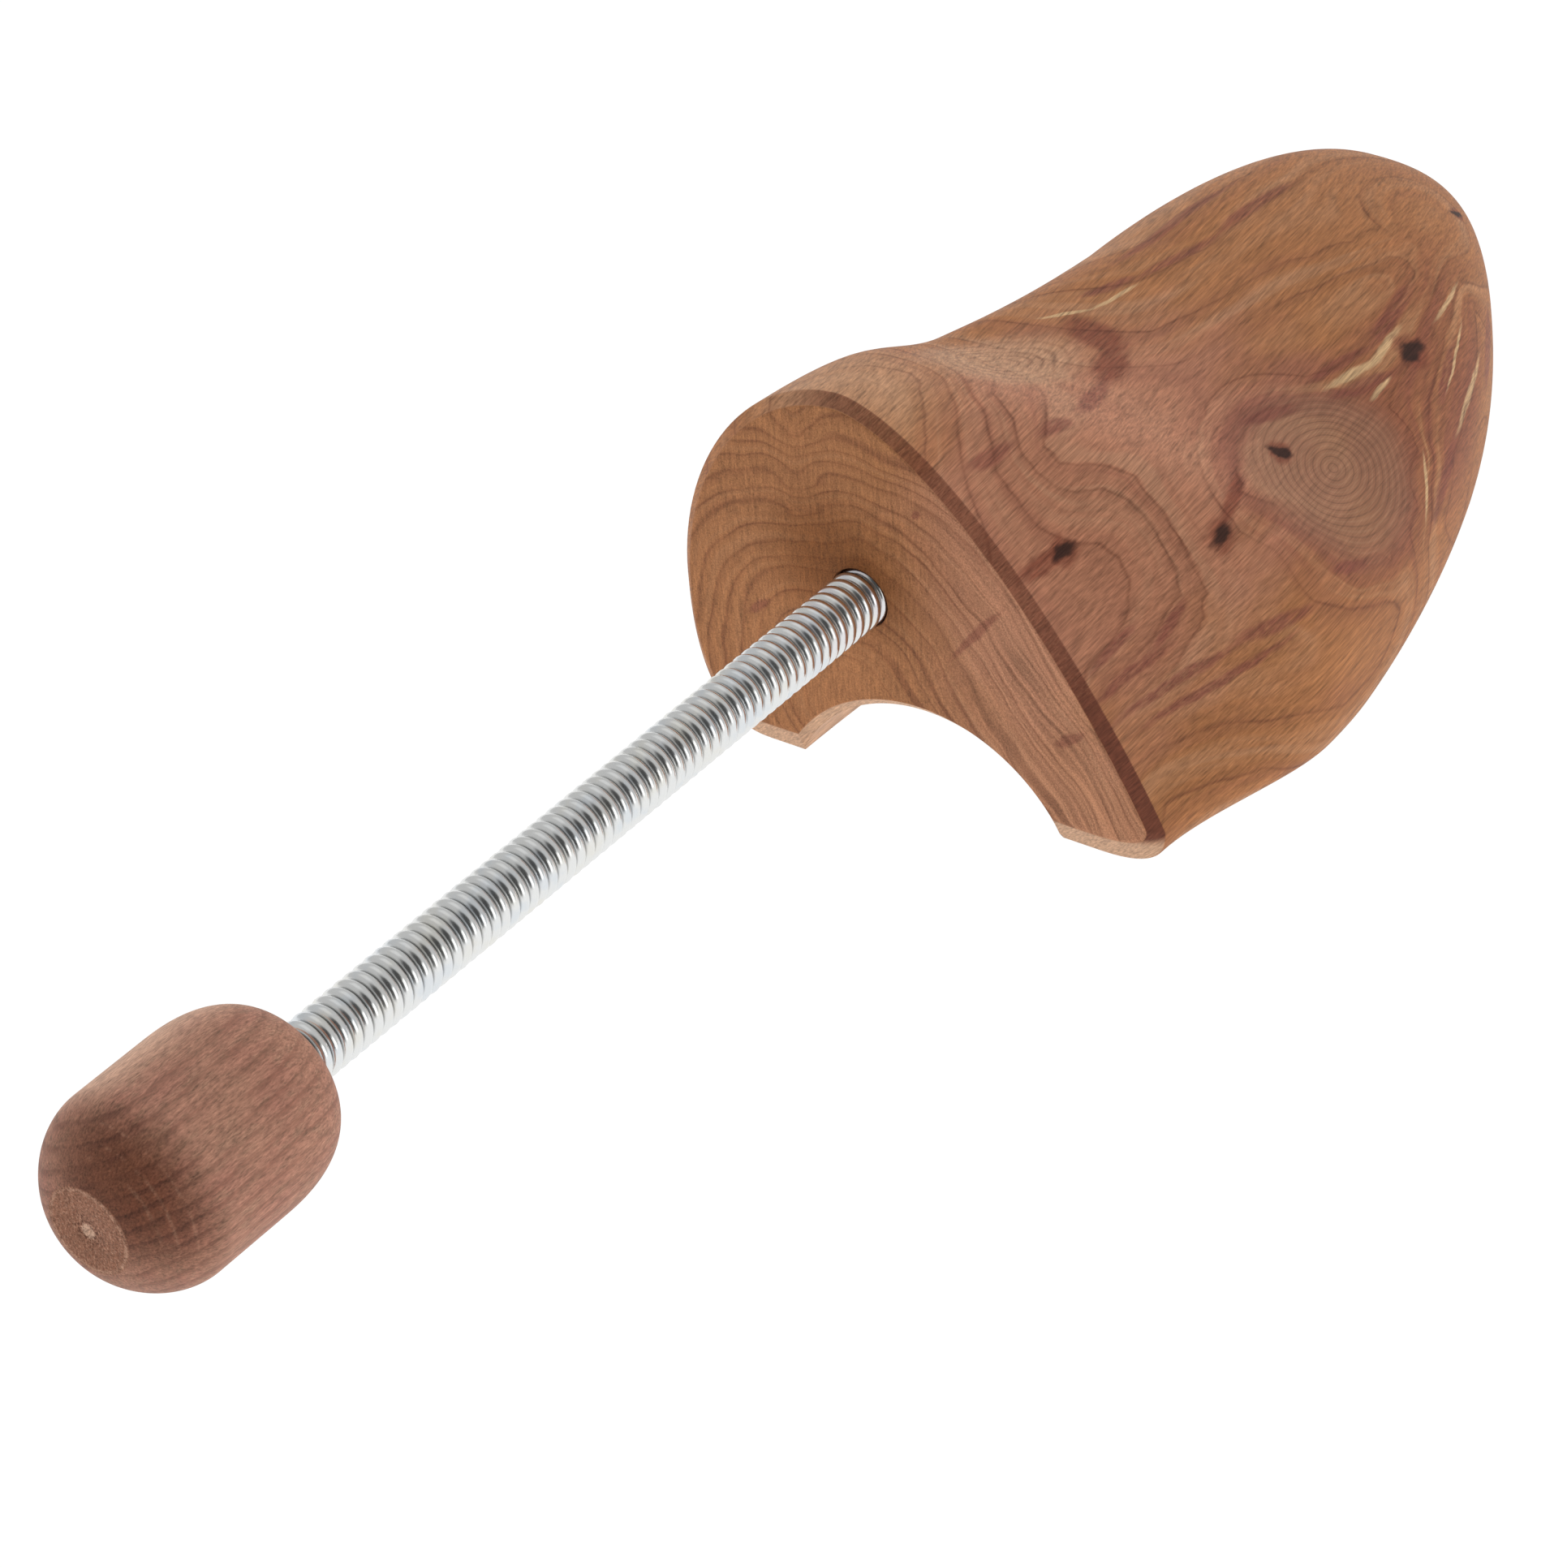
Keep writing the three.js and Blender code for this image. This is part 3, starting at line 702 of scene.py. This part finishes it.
purpleStreaks = (
    (((-23.0, -12.8, 42.0), (-38.7, -18.7, 47.9)), 1.6),
    (((-41.7, -19.4, 48.9), (-48.6, -18.6, 50.5)), 1.6),
    (((-60.6, -14.8, 52.0), (-52.6, -17.3, 51.4)), 1.4),
    (((-5.5, 3.2, 40.1), (3.1, -1.2, 39.3)), 1.2),
    (((2.3, -1.7, 39.3), (18.9, -5.5, 37.9)), 1.1),
    (((18.9, -5.5, 37.9), (38.3, -6.4, 35.3)), 1.5),
    (((6.0, 4.0, 38.6), (34.0, 1.6, 35.8)), 1.4),
    (((-69.4, -37.4, 24.6), (-56.9, -42.5, 28.0)), 1.0),
    (((-69.4, -39.7, 21.6), (-49.6, -49.7, 25.8)), 1.0),
    (((-66.9, -42.5, 19.4), (-42.5, -54.5, 24.4)), 0.8),
    (((-67.4, -36.1, 28.1), (-58.3, -38.5, 31.5)), 1.0),
    (((-58.7, -41.0, 28.0), (-51.5, -42.6, 32.7)), 0.9),
    (((-50.4, -48.9, 26.1), (-38.1, -54.6, 25.6)), 1.3),
    (((-4.6, -34.4, 35.2), (9.7, -36.7, 32.9)), 1.1),
    (((9.4, -36.7, 32.9), (26.8, -33.4, 31.7)), 1.4),
    (((-4.7, -38.4, 33.6), (7.9, -41.0, 30.8)), 1.2),
    (((43.6, -36.4, 17.4), (29.0, -43.6, 14.3)), 2.6),
    (((24.3, -41.6, 25.7), (10.7, -46.7, 24.6)), 1.2),
    (((-5.4, -53.9, 15.9), (10.5, -49.2, 19.6)), 1.8),
    (((-31.9, -53.7, 26.8), (-24.0, -54.8, 23.2)), 1.0),
    (((-19.4, -32.6, 37.5), (-9.7, -36.1, 35.1)), 1.5),
)


def blockPlaces(board):
    # places and noises that all of the block's figure uses
    at = SimpleNamespace(place=millimetres(board))
    at.x, at.y, at.z = board.axes(at.place)
    tilt = math.radians(springLine["tilt"])
    rearX, _, mouthHeight = springLine["mouth"]
    at.depth = (at.x - rearX) * math.cos(tilt) - (at.z - mouthHeight) * math.sin(tilt)
    at.onRear = board.step(at.depth, 0.3, 0.08)
    at.onLeg = board.step(at.y, -4, -26)
    waver = board.swirl(at.place, (0.12, 0.2, 0.2), 3, 0.6)
    at.bent = board.pushed(at.place, waver, (4, 4, 4))
    at.leaning = board.pushed(at.place, waver, (1.4, 1.4, 1.4))
    at.cloud = board.swirl(at.place, (0.026, 0.05, 0.05), 2, 0.5)
    at.ragged = board.noise(at.place, (0.3, 1.1, 1.1), 3, 0.6) * 1.3 - 0.65
    at.patchy = board.noise(at.place, (0.03, 0.09, 0.09), 3, 0.55)
    return at


def rearRings(board, at):
    # ring number on the rear face, round a slanting middle line, and fine strokes
    _, warpY, warpZ = board.axes(board.pushed(at.place, at.cloud, (0, 8, 8)))
    (pithY, pithZ), (farY, farZ) = cedar["pith"]
    stepY, stepZ = farY - pithY, farZ - pithZ
    offY, offZ = warpY - pithY, warpZ - pithZ
    along = ((offY * stepY + offZ * stepZ) / (stepY ** 2 + stepZ ** 2)).held()
    ringY, ringZ = offY - along * stepY, offZ - along * stepZ
    at.rearReach = (ringY * ringY + ringZ * ringZ).root()
    dipSide, dipWidth, dipDepth = cedar["ringDip"]
    dip = ((at.y - dipSide) / dipWidth).bell() * board.step(at.z, 36, 50)
    spread = board.point(at.rearReach * 0.2, at.y * 0.012, at.z * 0.012)
    uneven = board.noise(spread, (1, 1, 1), 2, 0.6) - 0.5
    at.rearRing = (at.rearReach + dip * dipDepth) / cedar["ringSpacing"] + uneven * cedar["unevenRings"]
    upright = board.noise(at.place, (0.4, 2.2, 0.3), 3, 0.65)
    alongRings = board.noise(board.point(at.rearRing * 4.5, at.y * 0.06, at.z * 0.06), (1, 1, 1), 3, 0.65)
    at.strokes = board.blend(board.step(at.y, -8, -20), upright, alongRings)


def growthMasks(board, at):
    # lines by the distance in millimetres from the nearest ring, on the skin and on the rear face
    width, spacing = cedar["lineWidth"], cedar["ringSpacing"]
    at.ring, slope = board.attribute("ring"), board.attribute("ringSlope")
    wobble = at.ragged * 0.35 + (at.patchy - 0.5) * 1.2
    offSkin = ((at.ring + 0.5).part() - 0.5) / slope + wobble
    halfSkin = (at.ring.part() - 0.5) / slope + wobble
    offRear = ((at.rearRing + 0.5).part() - 0.5) * spacing + at.ragged * 0.25
    halfRear = (at.rearRing.part() - 0.5) * spacing + at.ragged * 0.4
    off = board.blend(at.onRear, offSkin, offRear)
    share = (board.noise(at.place, (0.06, 0.14, 0.14), 2) * 1.8 - 0.35).held(0.25, 1.0)
    shareRear = (share * 0.7 + 0.15) * board.step(at.rearReach, 3, 10)
    at.lineShare = board.blend(at.onRear, share, shareRear)
    at.line = (off / width).bell()
    at.shade = board.step(off, -cedar["shadeWidth"], 0) * board.step(off, width, 0)
    faintRear = (halfRear / width).bell() * at.onLeg * 2.6
    at.faintLine = board.blend(at.onRear, (halfSkin / width).bell(), faintRear)


def groundColour(board, at):
    # pink heart and orange flanks, in bands that follow the growth lines
    toPink = board.reach(at.place, *cedar["pinkPatch"])
    pinkness = board.step(toPink + at.patchy * 1.2 - 0.6, 1.25, 0.55)
    colour = board.mix(pinkness, cedar["orange"], cedar["pink"])
    across = board.blend(at.onRear, at.ring * 1.7, at.rearRing * 2.2)
    at.bands = board.noise(board.point(across, at.x * 0.02, at.z * 0.03), (1, 1, 1), 3, 0.6)
    colour = board.mix(board.step(at.bands, 0.52, 0.3) * 0.3, colour, cedar["pale"])
    colour = board.mix(board.step(at.bands, 0.5, 0.75) * 0.3, colour, cedar["purple"])
    colour = board.mix(at.onRear * (1 - at.onLeg) * 0.7, colour, cedar["golden"])
    return board.mix(at.onRear * at.onLeg * 0.7, colour, cedar["leg"])


def addRidgeKnot(board, at, colour):
    # pale crown, and a pale knot with fine lines on the ridge
    place, wayOut = cedar["ridgeKnot"]
    turn = Vector(wayOut).to_track_quat("Z", "Y").to_euler()
    reach = board.reach(at.bent, place, turn, cedar["ridgeSizes"])
    at.inRidge = board.step(reach + at.ragged * 0.2, 1.2, 0.65)
    onCrown = board.step(board.reach(at.place, *cedar["crownPatch"]), 1.2, 0.4) * (1 - at.onRear)
    colour = board.mix(onCrown * 0.5, colour, cedar["pale"])
    colour = board.mix(at.inRidge * 0.65, colour, cedar["pale"])
    line = board.step(((reach * 6.5).part() - 0.5).size(), 0.3, 0.02) * at.inRidge
    return board.mix(line * at.lineShare * 0.4, colour, cedar["late"])


def addMainKnot(board, at, colour):
    # redder wood round it and by the toe, then a grey-brown disc with thin rings
    place, wayOut = cedar["mainKnot"]
    turn = Vector(wayOut).to_track_quat("Z", "X").to_euler()
    u, v, w = board.axes(board.local(at.place, place, turn))
    swell, _, _ = board.axes(at.cloud)
    reach = (u * u * 1.1 + v * v * 0.75).root() + swell * 6 + at.ragged * 0.12
    nearTop = board.step(w, -22, -10)
    byToe = board.step(board.reach(at.place, *cedar["toePatch"]), 1.2, 0.5)
    redder = (board.step(reach, 25, 13) * nearTop + byToe).held()
    colour = board.mix(redder * board.step(at.bands, 0.3, 0.62) * 0.62, colour, cedar["purple"])
    at.disc = board.step(reach, 17, 10) * nearTop
    colour = board.mix(at.disc * 0.6, colour, cedar["knotGrey"])
    rings = ((reach * cedar["knotRings"]).part() - 0.5).size()
    line = board.step(rings, 0.14, 0.02) * board.step(reach, 17, 8) * nearTop
    colour = board.mix(line * 0.45, colour, cedar["knotLine"])
    return board.mix(board.step(rings, 0.3, 0.5) * at.disc * 0.16, colour, cedar["pale"])


def addStreaks(board, at, colour):
    edge, core = at.ragged * 0.45, cedar["core"]
    strand = board.noise(at.place, (0.07, 1.5, 1.5), 3, 0.62)
    fibrous = board.step(strand, 0.26, 0.6) * 0.4 + 0.32
    for ends, width in purpleStreaks:
        streak = board.streak(at.leaning, ends, width, edge * 0.6, core)
        colour = board.mix(streak * fibrous, colour, cedar["purple"])
    for ends, width in rustTails:
        tail = board.streak(at.leaning, ends, width, edge, core)
        colour = board.mix(tail * (fibrous * 0.7 + 0.3), colour, cedar["rust"])
    for ends, width in creamStreaks:
        streak = board.streak(at.leaning, ends, width, at.ragged * 0.12, core)
        colour = board.mix(streak * 0.75, colour, cedar["cream"])
    for ends, width in rearMarks:
        mark = board.streak(at.leaning, ends, width, edge, cedar["fromRear"])
        colour = board.mix(mark * at.onRear * 0.55, colour, cedar["purple"])
    return colour


def addGrowthLines(board, at, colour):
    at.clear = at.lineShare * (1 - at.disc) * (1 - at.inRidge * 0.6)
    colour = board.mix(at.shade * at.clear * 0.2, colour, cedar["late"])
    colour = board.mix(at.faintLine * at.clear * 0.16, colour, cedar["late"])
    return board.mix(at.line * at.clear * 0.62, colour, cedar["late"])


def addEdges(board, at, colour):
    # painted shade round the bore, a darker bevel on the outer side (end grain with painted shade), and
    # painted bounce light on the feet and arch
    inwards, up = cedar["boreShade"]
    boreY, boreZ = at.y - inwards, at.z - springLine["mouth"][2] - up
    boreReach = (boreY * boreY + boreZ * boreZ).root()
    # painted shade round the bore on the rear face
    colour = board.mix(board.step(boreReach, 16, 3) * at.onRear * 0.65, colour, cedar["boreDark"])
    archFrom = tuple(archStart().translation / mm)
    _, archY, archZ = board.axes(board.local(at.place, archFrom, (0, math.radians(block["archSlope"]), 0)))
    archReach = (archY * archY + archZ * archZ).root()
    wall, chamfer, foot = block["archRadius"], block["chamfer"], block["footBevel"]
    rim = wall + block["archChamfer"]
    onBevel = board.step(at.depth, 0.1, 0.3) * board.step(at.depth, chamfer + 0.2, chamfer - 0.1)
    above = board.step(at.z, foot - 0.1, foot + 2.4) * board.step(archReach, rim + 0.1, rim + 1.7)
    # darker bevel on the outer side: cross grain, with painted shade that grows lower down
    crossGrain = board.noise(at.place, (0.12, 3.4, 3.4), 3, 0.65)
    bevelGrainAndShade = crossGrain * 0.7 + board.step(at.z, 40, 8) * 0.6 + 0.35
    colour = board.mix(onBevel * above * board.step(at.y, 16, 2) * bevelGrainAndShade, colour, cedar["chamfer"])
    # painted bounce light from the floor on the foot bevels and the arch wall
    bounceLight = onBevel * board.step(at.z, foot + 1.9, foot - 0.1)
    bounceLight = bounceLight + onBevel * board.step(archReach, rim + 1.1, rim + 0.1)
    bounceLight = bounceLight + board.step(archReach, wall + 0.4, wall + 0.1)
    return board.mix(bounceLight.held() * 0.66, colour, cedar["foot"])


def addBark(board, at, colour):
    edge, core = at.ragged * 0.45, cedar["core"]
    for ends, width in barkPockets:
        stain = board.streak(at.bent, ends, width * 1.9, edge, core)
        colour = board.mix(stain * 0.7, colour, cedar["rust"])
        pocket = board.streak(at.bent, ends, width * 0.9, edge * 1.3, core)
        colour = board.mix(pocket * 0.92, colour, cedar["bark"])
    return colour


def blockGrain(board, at):
    # fibres that stay long where the skin slopes, fine strokes on the rear face, less on the knot
    slant = board.local(at.place, (0, 0, 0), (math.radians(45), 0, 0))
    fibre = board.noise(slant, (0.07, 2.2, 0.25), 3, 0.65)
    hairSkin = board.noise(slant, (0.25, 4, 1), 2, 0.65)
    hair = board.blend(at.onRear, hairSkin, board.noise(at.place, (0.4, 4, 4), 2, 0.65))
    grain = board.blend(at.onRear, fibre * 0.3 + hair * 0.58 + 0.06, at.strokes * 0.45 + hair * 0.55)
    return board.blend(at.disc * 0.35, grain, 0.5)


def blockWood():
    material, board = newBoard("cedarBlock")
    at = blockPlaces(board)
    rearRings(board, at)
    growthMasks(board, at)
    colour = groundColour(board, at)
    for addFigure in (addRidgeKnot, addMainKnot, addStreaks, addGrowthLines, addEdges, addBark):
        colour = addFigure(board, at, colour)
    grain = blockGrain(board, at)
    colour = board.mix(1.0, colour, 1 + (grain - 0.5) * cedar["grainStrength"], "MULTIPLY")
    rough = 0.5 + grain * 0.2 + at.onRear * 0.1
    height = grain - at.line * at.clear * 0.4
    board.surface({"Base Color": colour, "Roughness": rough, "Specular IOR Level": 0.15}, height, 0.2, 0.0001)
    return material


turnedCedar = {
    "ground": linear(157, 114, 94), "pale": linear(182, 142, 116), "dark": linear(110, 70, 56),
    # the end grain colour also paints shade on the knob's rear round
    "rose": linear(150, 98, 84), "endGrainAndShade": linear(96, 51, 31), "flat": linear(144, 101, 80),
    # the rim colour also paints rim light on the knob's upper side
    "rim": linear(194, 156, 132), "capLine": linear(66, 36, 25), "crumb": linear(72, 42, 32),
    "pip": linear(206, 170, 146), "lineSpacing": 2.1, "grainStrength": 3,
    "arcs": (2.2, 3.6, 5.6),                 # how far along the lathe's light arcs are
    "acrossLines": (0.42, 0.91), "rimLightSide": (0.78, 0.62),         # directions, as y and z
}


def addSawnFlat(board, at, colour):
    # end grain with a pale rim, and crumbs round the lathe's pip
    colour = board.mix(at.onFlat, colour, turnedCedar["flat"])
    colour = board.mix(at.onFlat * board.step(at.speck, 0.45, 0.65) * 0.6, colour, turnedCedar["endGrainAndShade"])
    colour = board.mix(at.onFlat * board.step(at.speck, 0.48, 0.3) * 0.5, colour, turnedCedar["rim"])
    rim = board.step((at.reach - knob["flat"] / 2).size(), 0.4, 0.05) * board.step(at.along, 0.6, 0.1)
    colour = board.mix(rim * board.step(at.curl, 0.3, 0.6) * 0.35, colour, turnedCedar["rim"])
    crumbs = board.step(at.reach + at.speck * 2 - 1, 3.2, 1.2) * board.step(at.speck, 0.5, 0.58) * at.onFlat
    colour = board.mix(crumbs * 0.8, colour, turnedCedar["crumb"])
    pip = board.step(at.reach + at.speck * 1.6 - 0.8, 1.3, 0.6) * board.step(at.along, 1, 0.7)
    return board.mix(pip * 0.85, colour, turnedCedar["pip"])


def knobWood():
    material, board = newBoard("cedarKnob")
    rear = onLine(-(knob["springGap"] + knob["length"])) / mm
    place = board.local(millimetres(board), tuple(rear), (0, math.radians(springLine["tilt"]), 0))
    at = SimpleNamespace()
    at.along, y, z = board.axes(place)
    at.reach = (y * y + z * z).root()
    at.onFlat = board.step(at.along, 0.12, 0.03)
    at.curl = board.noise(place, (0.3, 0.9, 0.9), 3, 0.6)
    at.speck = board.noise(place, (3, 2.4, 2.4), 4, 0.75)
    waver = board.noise(place, (0.07, 0.18, 0.18), 3) * 1.8 - 0.9
    hair = board.noise(place, (0.8, 3.6, 3.6), 3, 0.7)
    patchy = board.noise(place, (0.07, 0.16, 0.16), 3, 0.55)

    # growth lines along the knob, and a dark round that faces up and outwards: end grain, with painted shade
    # darker towards the camera
    sideShare, upShare = turnedCedar["acrossLines"]
    across = y * sideShare + z * upShare + waver + at.curl * 0.35
    turn = (across / turnedCedar["lineSpacing"]).part()
    line = board.step(turn, 0.45, 0.9) * board.step(turn, 1.0, 0.9) * board.step(patchy, 0.25, 0.6)
    toCamera = Vector(cameraView["place"])
    facing = (y * toCamera.y + z * toCamera.z) / Vector((toCamera.y, toCamera.z)).length / (at.reach + 0.1)
    capGrainAndShade = board.step(at.along + at.curl * 3 - 1.5, 11.5, 3.5)
    # darker on the side that faces the camera: painted shade
    capGrainAndShade = capGrainAndShade * (board.step(facing, -0.1, 0.95) * 0.8 + 0.2)
    colour = board.mix(board.step(patchy, 0.4, 0.7) * 0.5, turnedCedar["ground"], turnedCedar["rose"])
    colour = board.mix(board.step(at.curl, 0.52, 0.3) * 0.35, colour, turnedCedar["pale"])
    colour = board.mix(capGrainAndShade * 0.8, colour, turnedCedar["endGrainAndShade"])
    colour = board.mix(line * (board.step(hair, 0.25, 0.6) * 0.4 + 0.1), colour, turnedCedar["dark"])
    colour = board.mix(line * capGrainAndShade * 0.5, colour, turnedCedar["capLine"])

    # light arcs left by the lathe, the sawn end, and painted rim light on the upper side
    arc = sum(((at.along - spot + (at.curl - 0.5) * 0.4) / 0.17).bell() for spot in turnedCedar["arcs"])
    colour = board.mix(arc * board.step(at.curl + patchy, 0.9, 1.2) * 0.17, colour, turnedCedar["pale"])
    colour = addSawnFlat(board, at, colour)
    sideShare, upShare = turnedCedar["rimLightSide"]
    # painted rim light along the knob's upper side
    rimLight = board.step((y * sideShare + z * upShare) / (at.reach + 0.1), 0.6, 1.0)
    colour = board.mix(rimLight * board.step(at.along, 5, 12) * 0.85, colour, turnedCedar["rim"])
    grain = at.curl * 0.3 + hair * 0.7
    colour = board.mix(1.0, colour, 1 + (grain - 0.5) * turnedCedar["grainStrength"], "MULTIPLY")
    rough = 0.52 + hair * 0.16 + at.onFlat * 0.15
    height = grain * 0.8 + at.speck * at.onFlat * 1.6
    board.surface({"Base Color": colour, "Roughness": rough, "Specular IOR Level": 0.15},
                  height, 0.25, 0.00012)
    return material


zinc = {"bright": linear(228, 229, 228), "gapShade": linear(200, 200, 199), "straw": linear(227, 222, 206),
        "rose": linear(221, 213, 222), "blue": linear(208, 217, 226),
        "roseFrom": -92, "roseTo": -74}       # rosy sheen towards the block
plainWood = {"light": linear(222, 196, 156), "dark": linear(190, 156, 112)}


def zincWire():
    material, board = newBoard("zincWire")
    place = millimetres(board)
    crest = board.attribute("crest")
    x, _, _ = board.axes(place)
    tint = board.noise(place, (0.16, 0.3, 0.3), 2)
    colour = board.mix(board.step(tint, 0.5, 0.7) * 0.3, zinc["bright"], zinc["straw"])
    colour = board.mix(board.step(tint, 0.48, 0.3) * 0.4, colour, zinc["blue"])
    sheen = board.step(board.noise(place, (0.5, 0.2, 0.2), 1), 0.45, 0.7)
    nearBlock = board.step(x, zinc["roseFrom"], zinc["roseTo"])
    colour = board.mix(sheen * nearBlock * 0.5, colour, zinc["rose"])
    # painted shade in the gaps between turns, with rougher metal there
    inGap = board.step(crest, 0.62, 0.1)
    colour = board.mix(inGap, colour, zinc["gapShade"])
    scuff = board.noise(place, (1.2, 1.2, 1.2), 4, 0.7)
    rough = 0.19 + scuff * 0.08 + inGap * 0.25
    board.surface({"Base Color": colour, "Metallic": 1.0, "Roughness": rough}, scuff, 0.03, 0.00005)
    return material


def dowelWood():
    material, board = newBoard("plainDowel")
    place = millimetres(board)
    fibre = board.noise(place, (0.1, 2.2, 2.2), 4, 0.65)
    colour = board.mix(board.step(fibre, 0.35, 0.7), plainWood["light"], plainWood["dark"])
    board.surface({"Base Color": colour, "Roughness": 0.55 + fibre * 0.15}, fibre, 0.2, 0.0001)
    return material


# Pieces
toeBlock = makeToeBlock(blockWood())
markRings(toeBlock)
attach(toeBlock, "toe")
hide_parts("toe_block")
print("toe block:", len(toeBlock.data.polygons), "faces")

heelKnob = makeHeelKnob(knobWood())
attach(heelKnob, "heel")
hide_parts("heel_knob")
print("heel knob:", len(heelKnob.data.polygons), "faces")

rearEnd = -(spring["free"] + spring["inKnob"]) + spring["wire"] / 2
springTurns = (spring["free"] + spring["inKnob"] + spring["inBlock"] - spring["wire"]) / spring["pitch"]
middleAlong = -spring["free"] / 2
rearTurns = (middleAlong - rearEnd) / spring["pitch"]
woundTree = springTree(zincWire())
springRear = makeSpringHalf("springRear", woundTree, rearEnd, rearTurns, 0)
springFront = makeSpringHalf("springFront", woundTree, middleAlong, springTurns - rearTurns, rearTurns)
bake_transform(springFront)
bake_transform(springRear)
for half in (springFront, springRear):
    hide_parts("coil_spring")
print("spring:", round(springTurns, 1), "turns,", len(springRear.data.polygons), "faces in the rear half")

plainDowel = dowelWood()
for name in ("toe_dowel", "heel_dowel"):
    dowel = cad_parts[name]
    dowel.data.materials.clear()
    dowel.data.materials.append(plainDowel)
print("dowels dressed")

# Floor, light and white surroundings
stage = {
    "floorSize": 3, "floorDrop": 0.0002, "floorColour": (0.86, 0.86, 0.86, 1),
    "middle": (-0.08, 0, 0.03), "lampsAim": (-0.03, 0, 0.03),
    "white": 1.05, "whiteShare": 0.95, "glowShare": 0.6, "glow": 1.8,
    "softLevel": 1.25, "softDark": 0.1, "softFrom": 62, "softTo": 30,        # degrees from the camera
    "sharpLevel": 0.59, "sharpDark": 0.06, "sharpFrom": 46, "sharpTo": 28,
    "lamps": (("overhead", (0.1, 0.35, 0.9), 0.7, 0.3),            # place, size and power
              ("side", (-0.25, -0.9, 0.35), 0.6, 1.5)),
}


def rayKinds(board, *names):
    rays = board.add("ShaderNodeLightPath").socket.node.outputs
    return [Link(board, rays[name]) for name in names]


def makeFloor():
    material, board = newBoard("paleFloor")
    camera, glossy, through = rayKinds(board, "Is Camera Ray", "Is Glossy Ray", "Is Transmission Ray")
    seen = (camera + glossy + through).held()
    plain = board.add("ShaderNodeBsdfDiffuse", None, {"Color": stage["floorColour"]})
    level = board.blend(seen, stage["glow"], stage["white"])
    white = board.add("ShaderNodeEmission", None, {"Color": (1, 1, 1, 1), "Strength": level})
    share = board.blend(seen, stage["glowShare"], stage["whiteShare"])
    lit = board.add("ShaderNodeMixShader", None, {0: share, 1: plain, 2: white})
    under = board.add("ShaderNodeNewGeometry", None, None, "Backfacing")
    clear = board.add("ShaderNodeBsdfTransparent")
    whole = board.add("ShaderNodeMixShader", None, {0: under, 1: lit, 2: clear})
    board.add("ShaderNodeOutputMaterial", None, {"Surface": whole})
    reach, drop = stage["floorSize"], -stage["floorDrop"]
    corners = [(-reach, -reach, drop), (reach, -reach, drop), (reach, reach, drop), (-reach, reach, drop)]
    floor = meshObject("floor", corners, [(0, 1, 2, 3)], material)


def makeLight():
    world = bpy.data.worlds.new("studio")
    bpy.context.scene.world = world
    world.use_nodes = True
    board = Board(world.node_tree)
    toCamera = Vector(cameraView["place"]) - Vector(stage["middle"])
    way = board.add("ShaderNodeTexCoord", None, None, "Generated")
    facing = board.vector("DOT_PRODUCT", way, tuple(toCamera.normalized()), "Value")

    def darkRound(kind):
        limits = [math.cos(math.radians(stage[kind + end])) for end in ("From", "To")]
        return board.blend(board.step(facing, *limits), stage[kind + "Level"], stage[kind + "Dark"])

    camera, glossy = rayKinds(board, "Is Camera Ray", "Is Glossy Ray")
    level = board.blend(glossy, darkRound("soft"), darkRound("sharp"))
    level = board.blend(camera, level, 1.0)
    sky = board.add("ShaderNodeBackground", None, {"Color": (1, 1, 1, 1), "Strength": level})
    board.add("ShaderNodeOutputWorld", None, {"Surface": sky})
    for name, spot, size, power in stage["lamps"]:
        lamp = bpy.data.lights.new(name, "AREA")
        lamp.size = size
        lamp.energy = power
        holder = bpy.data.objects.new(name, lamp)
        holder.location = spot
        aim = Vector(stage["lampsAim"]) - Vector(spot)
        holder.rotation_euler = aim.to_track_quat("-Z", "Y").to_euler()
        bpy.context.scene.collection.objects.link(holder)


makeFloor()
makeLight()
bpy.context.scene.view_settings.view_transform = "Standard"
print("stage lit")
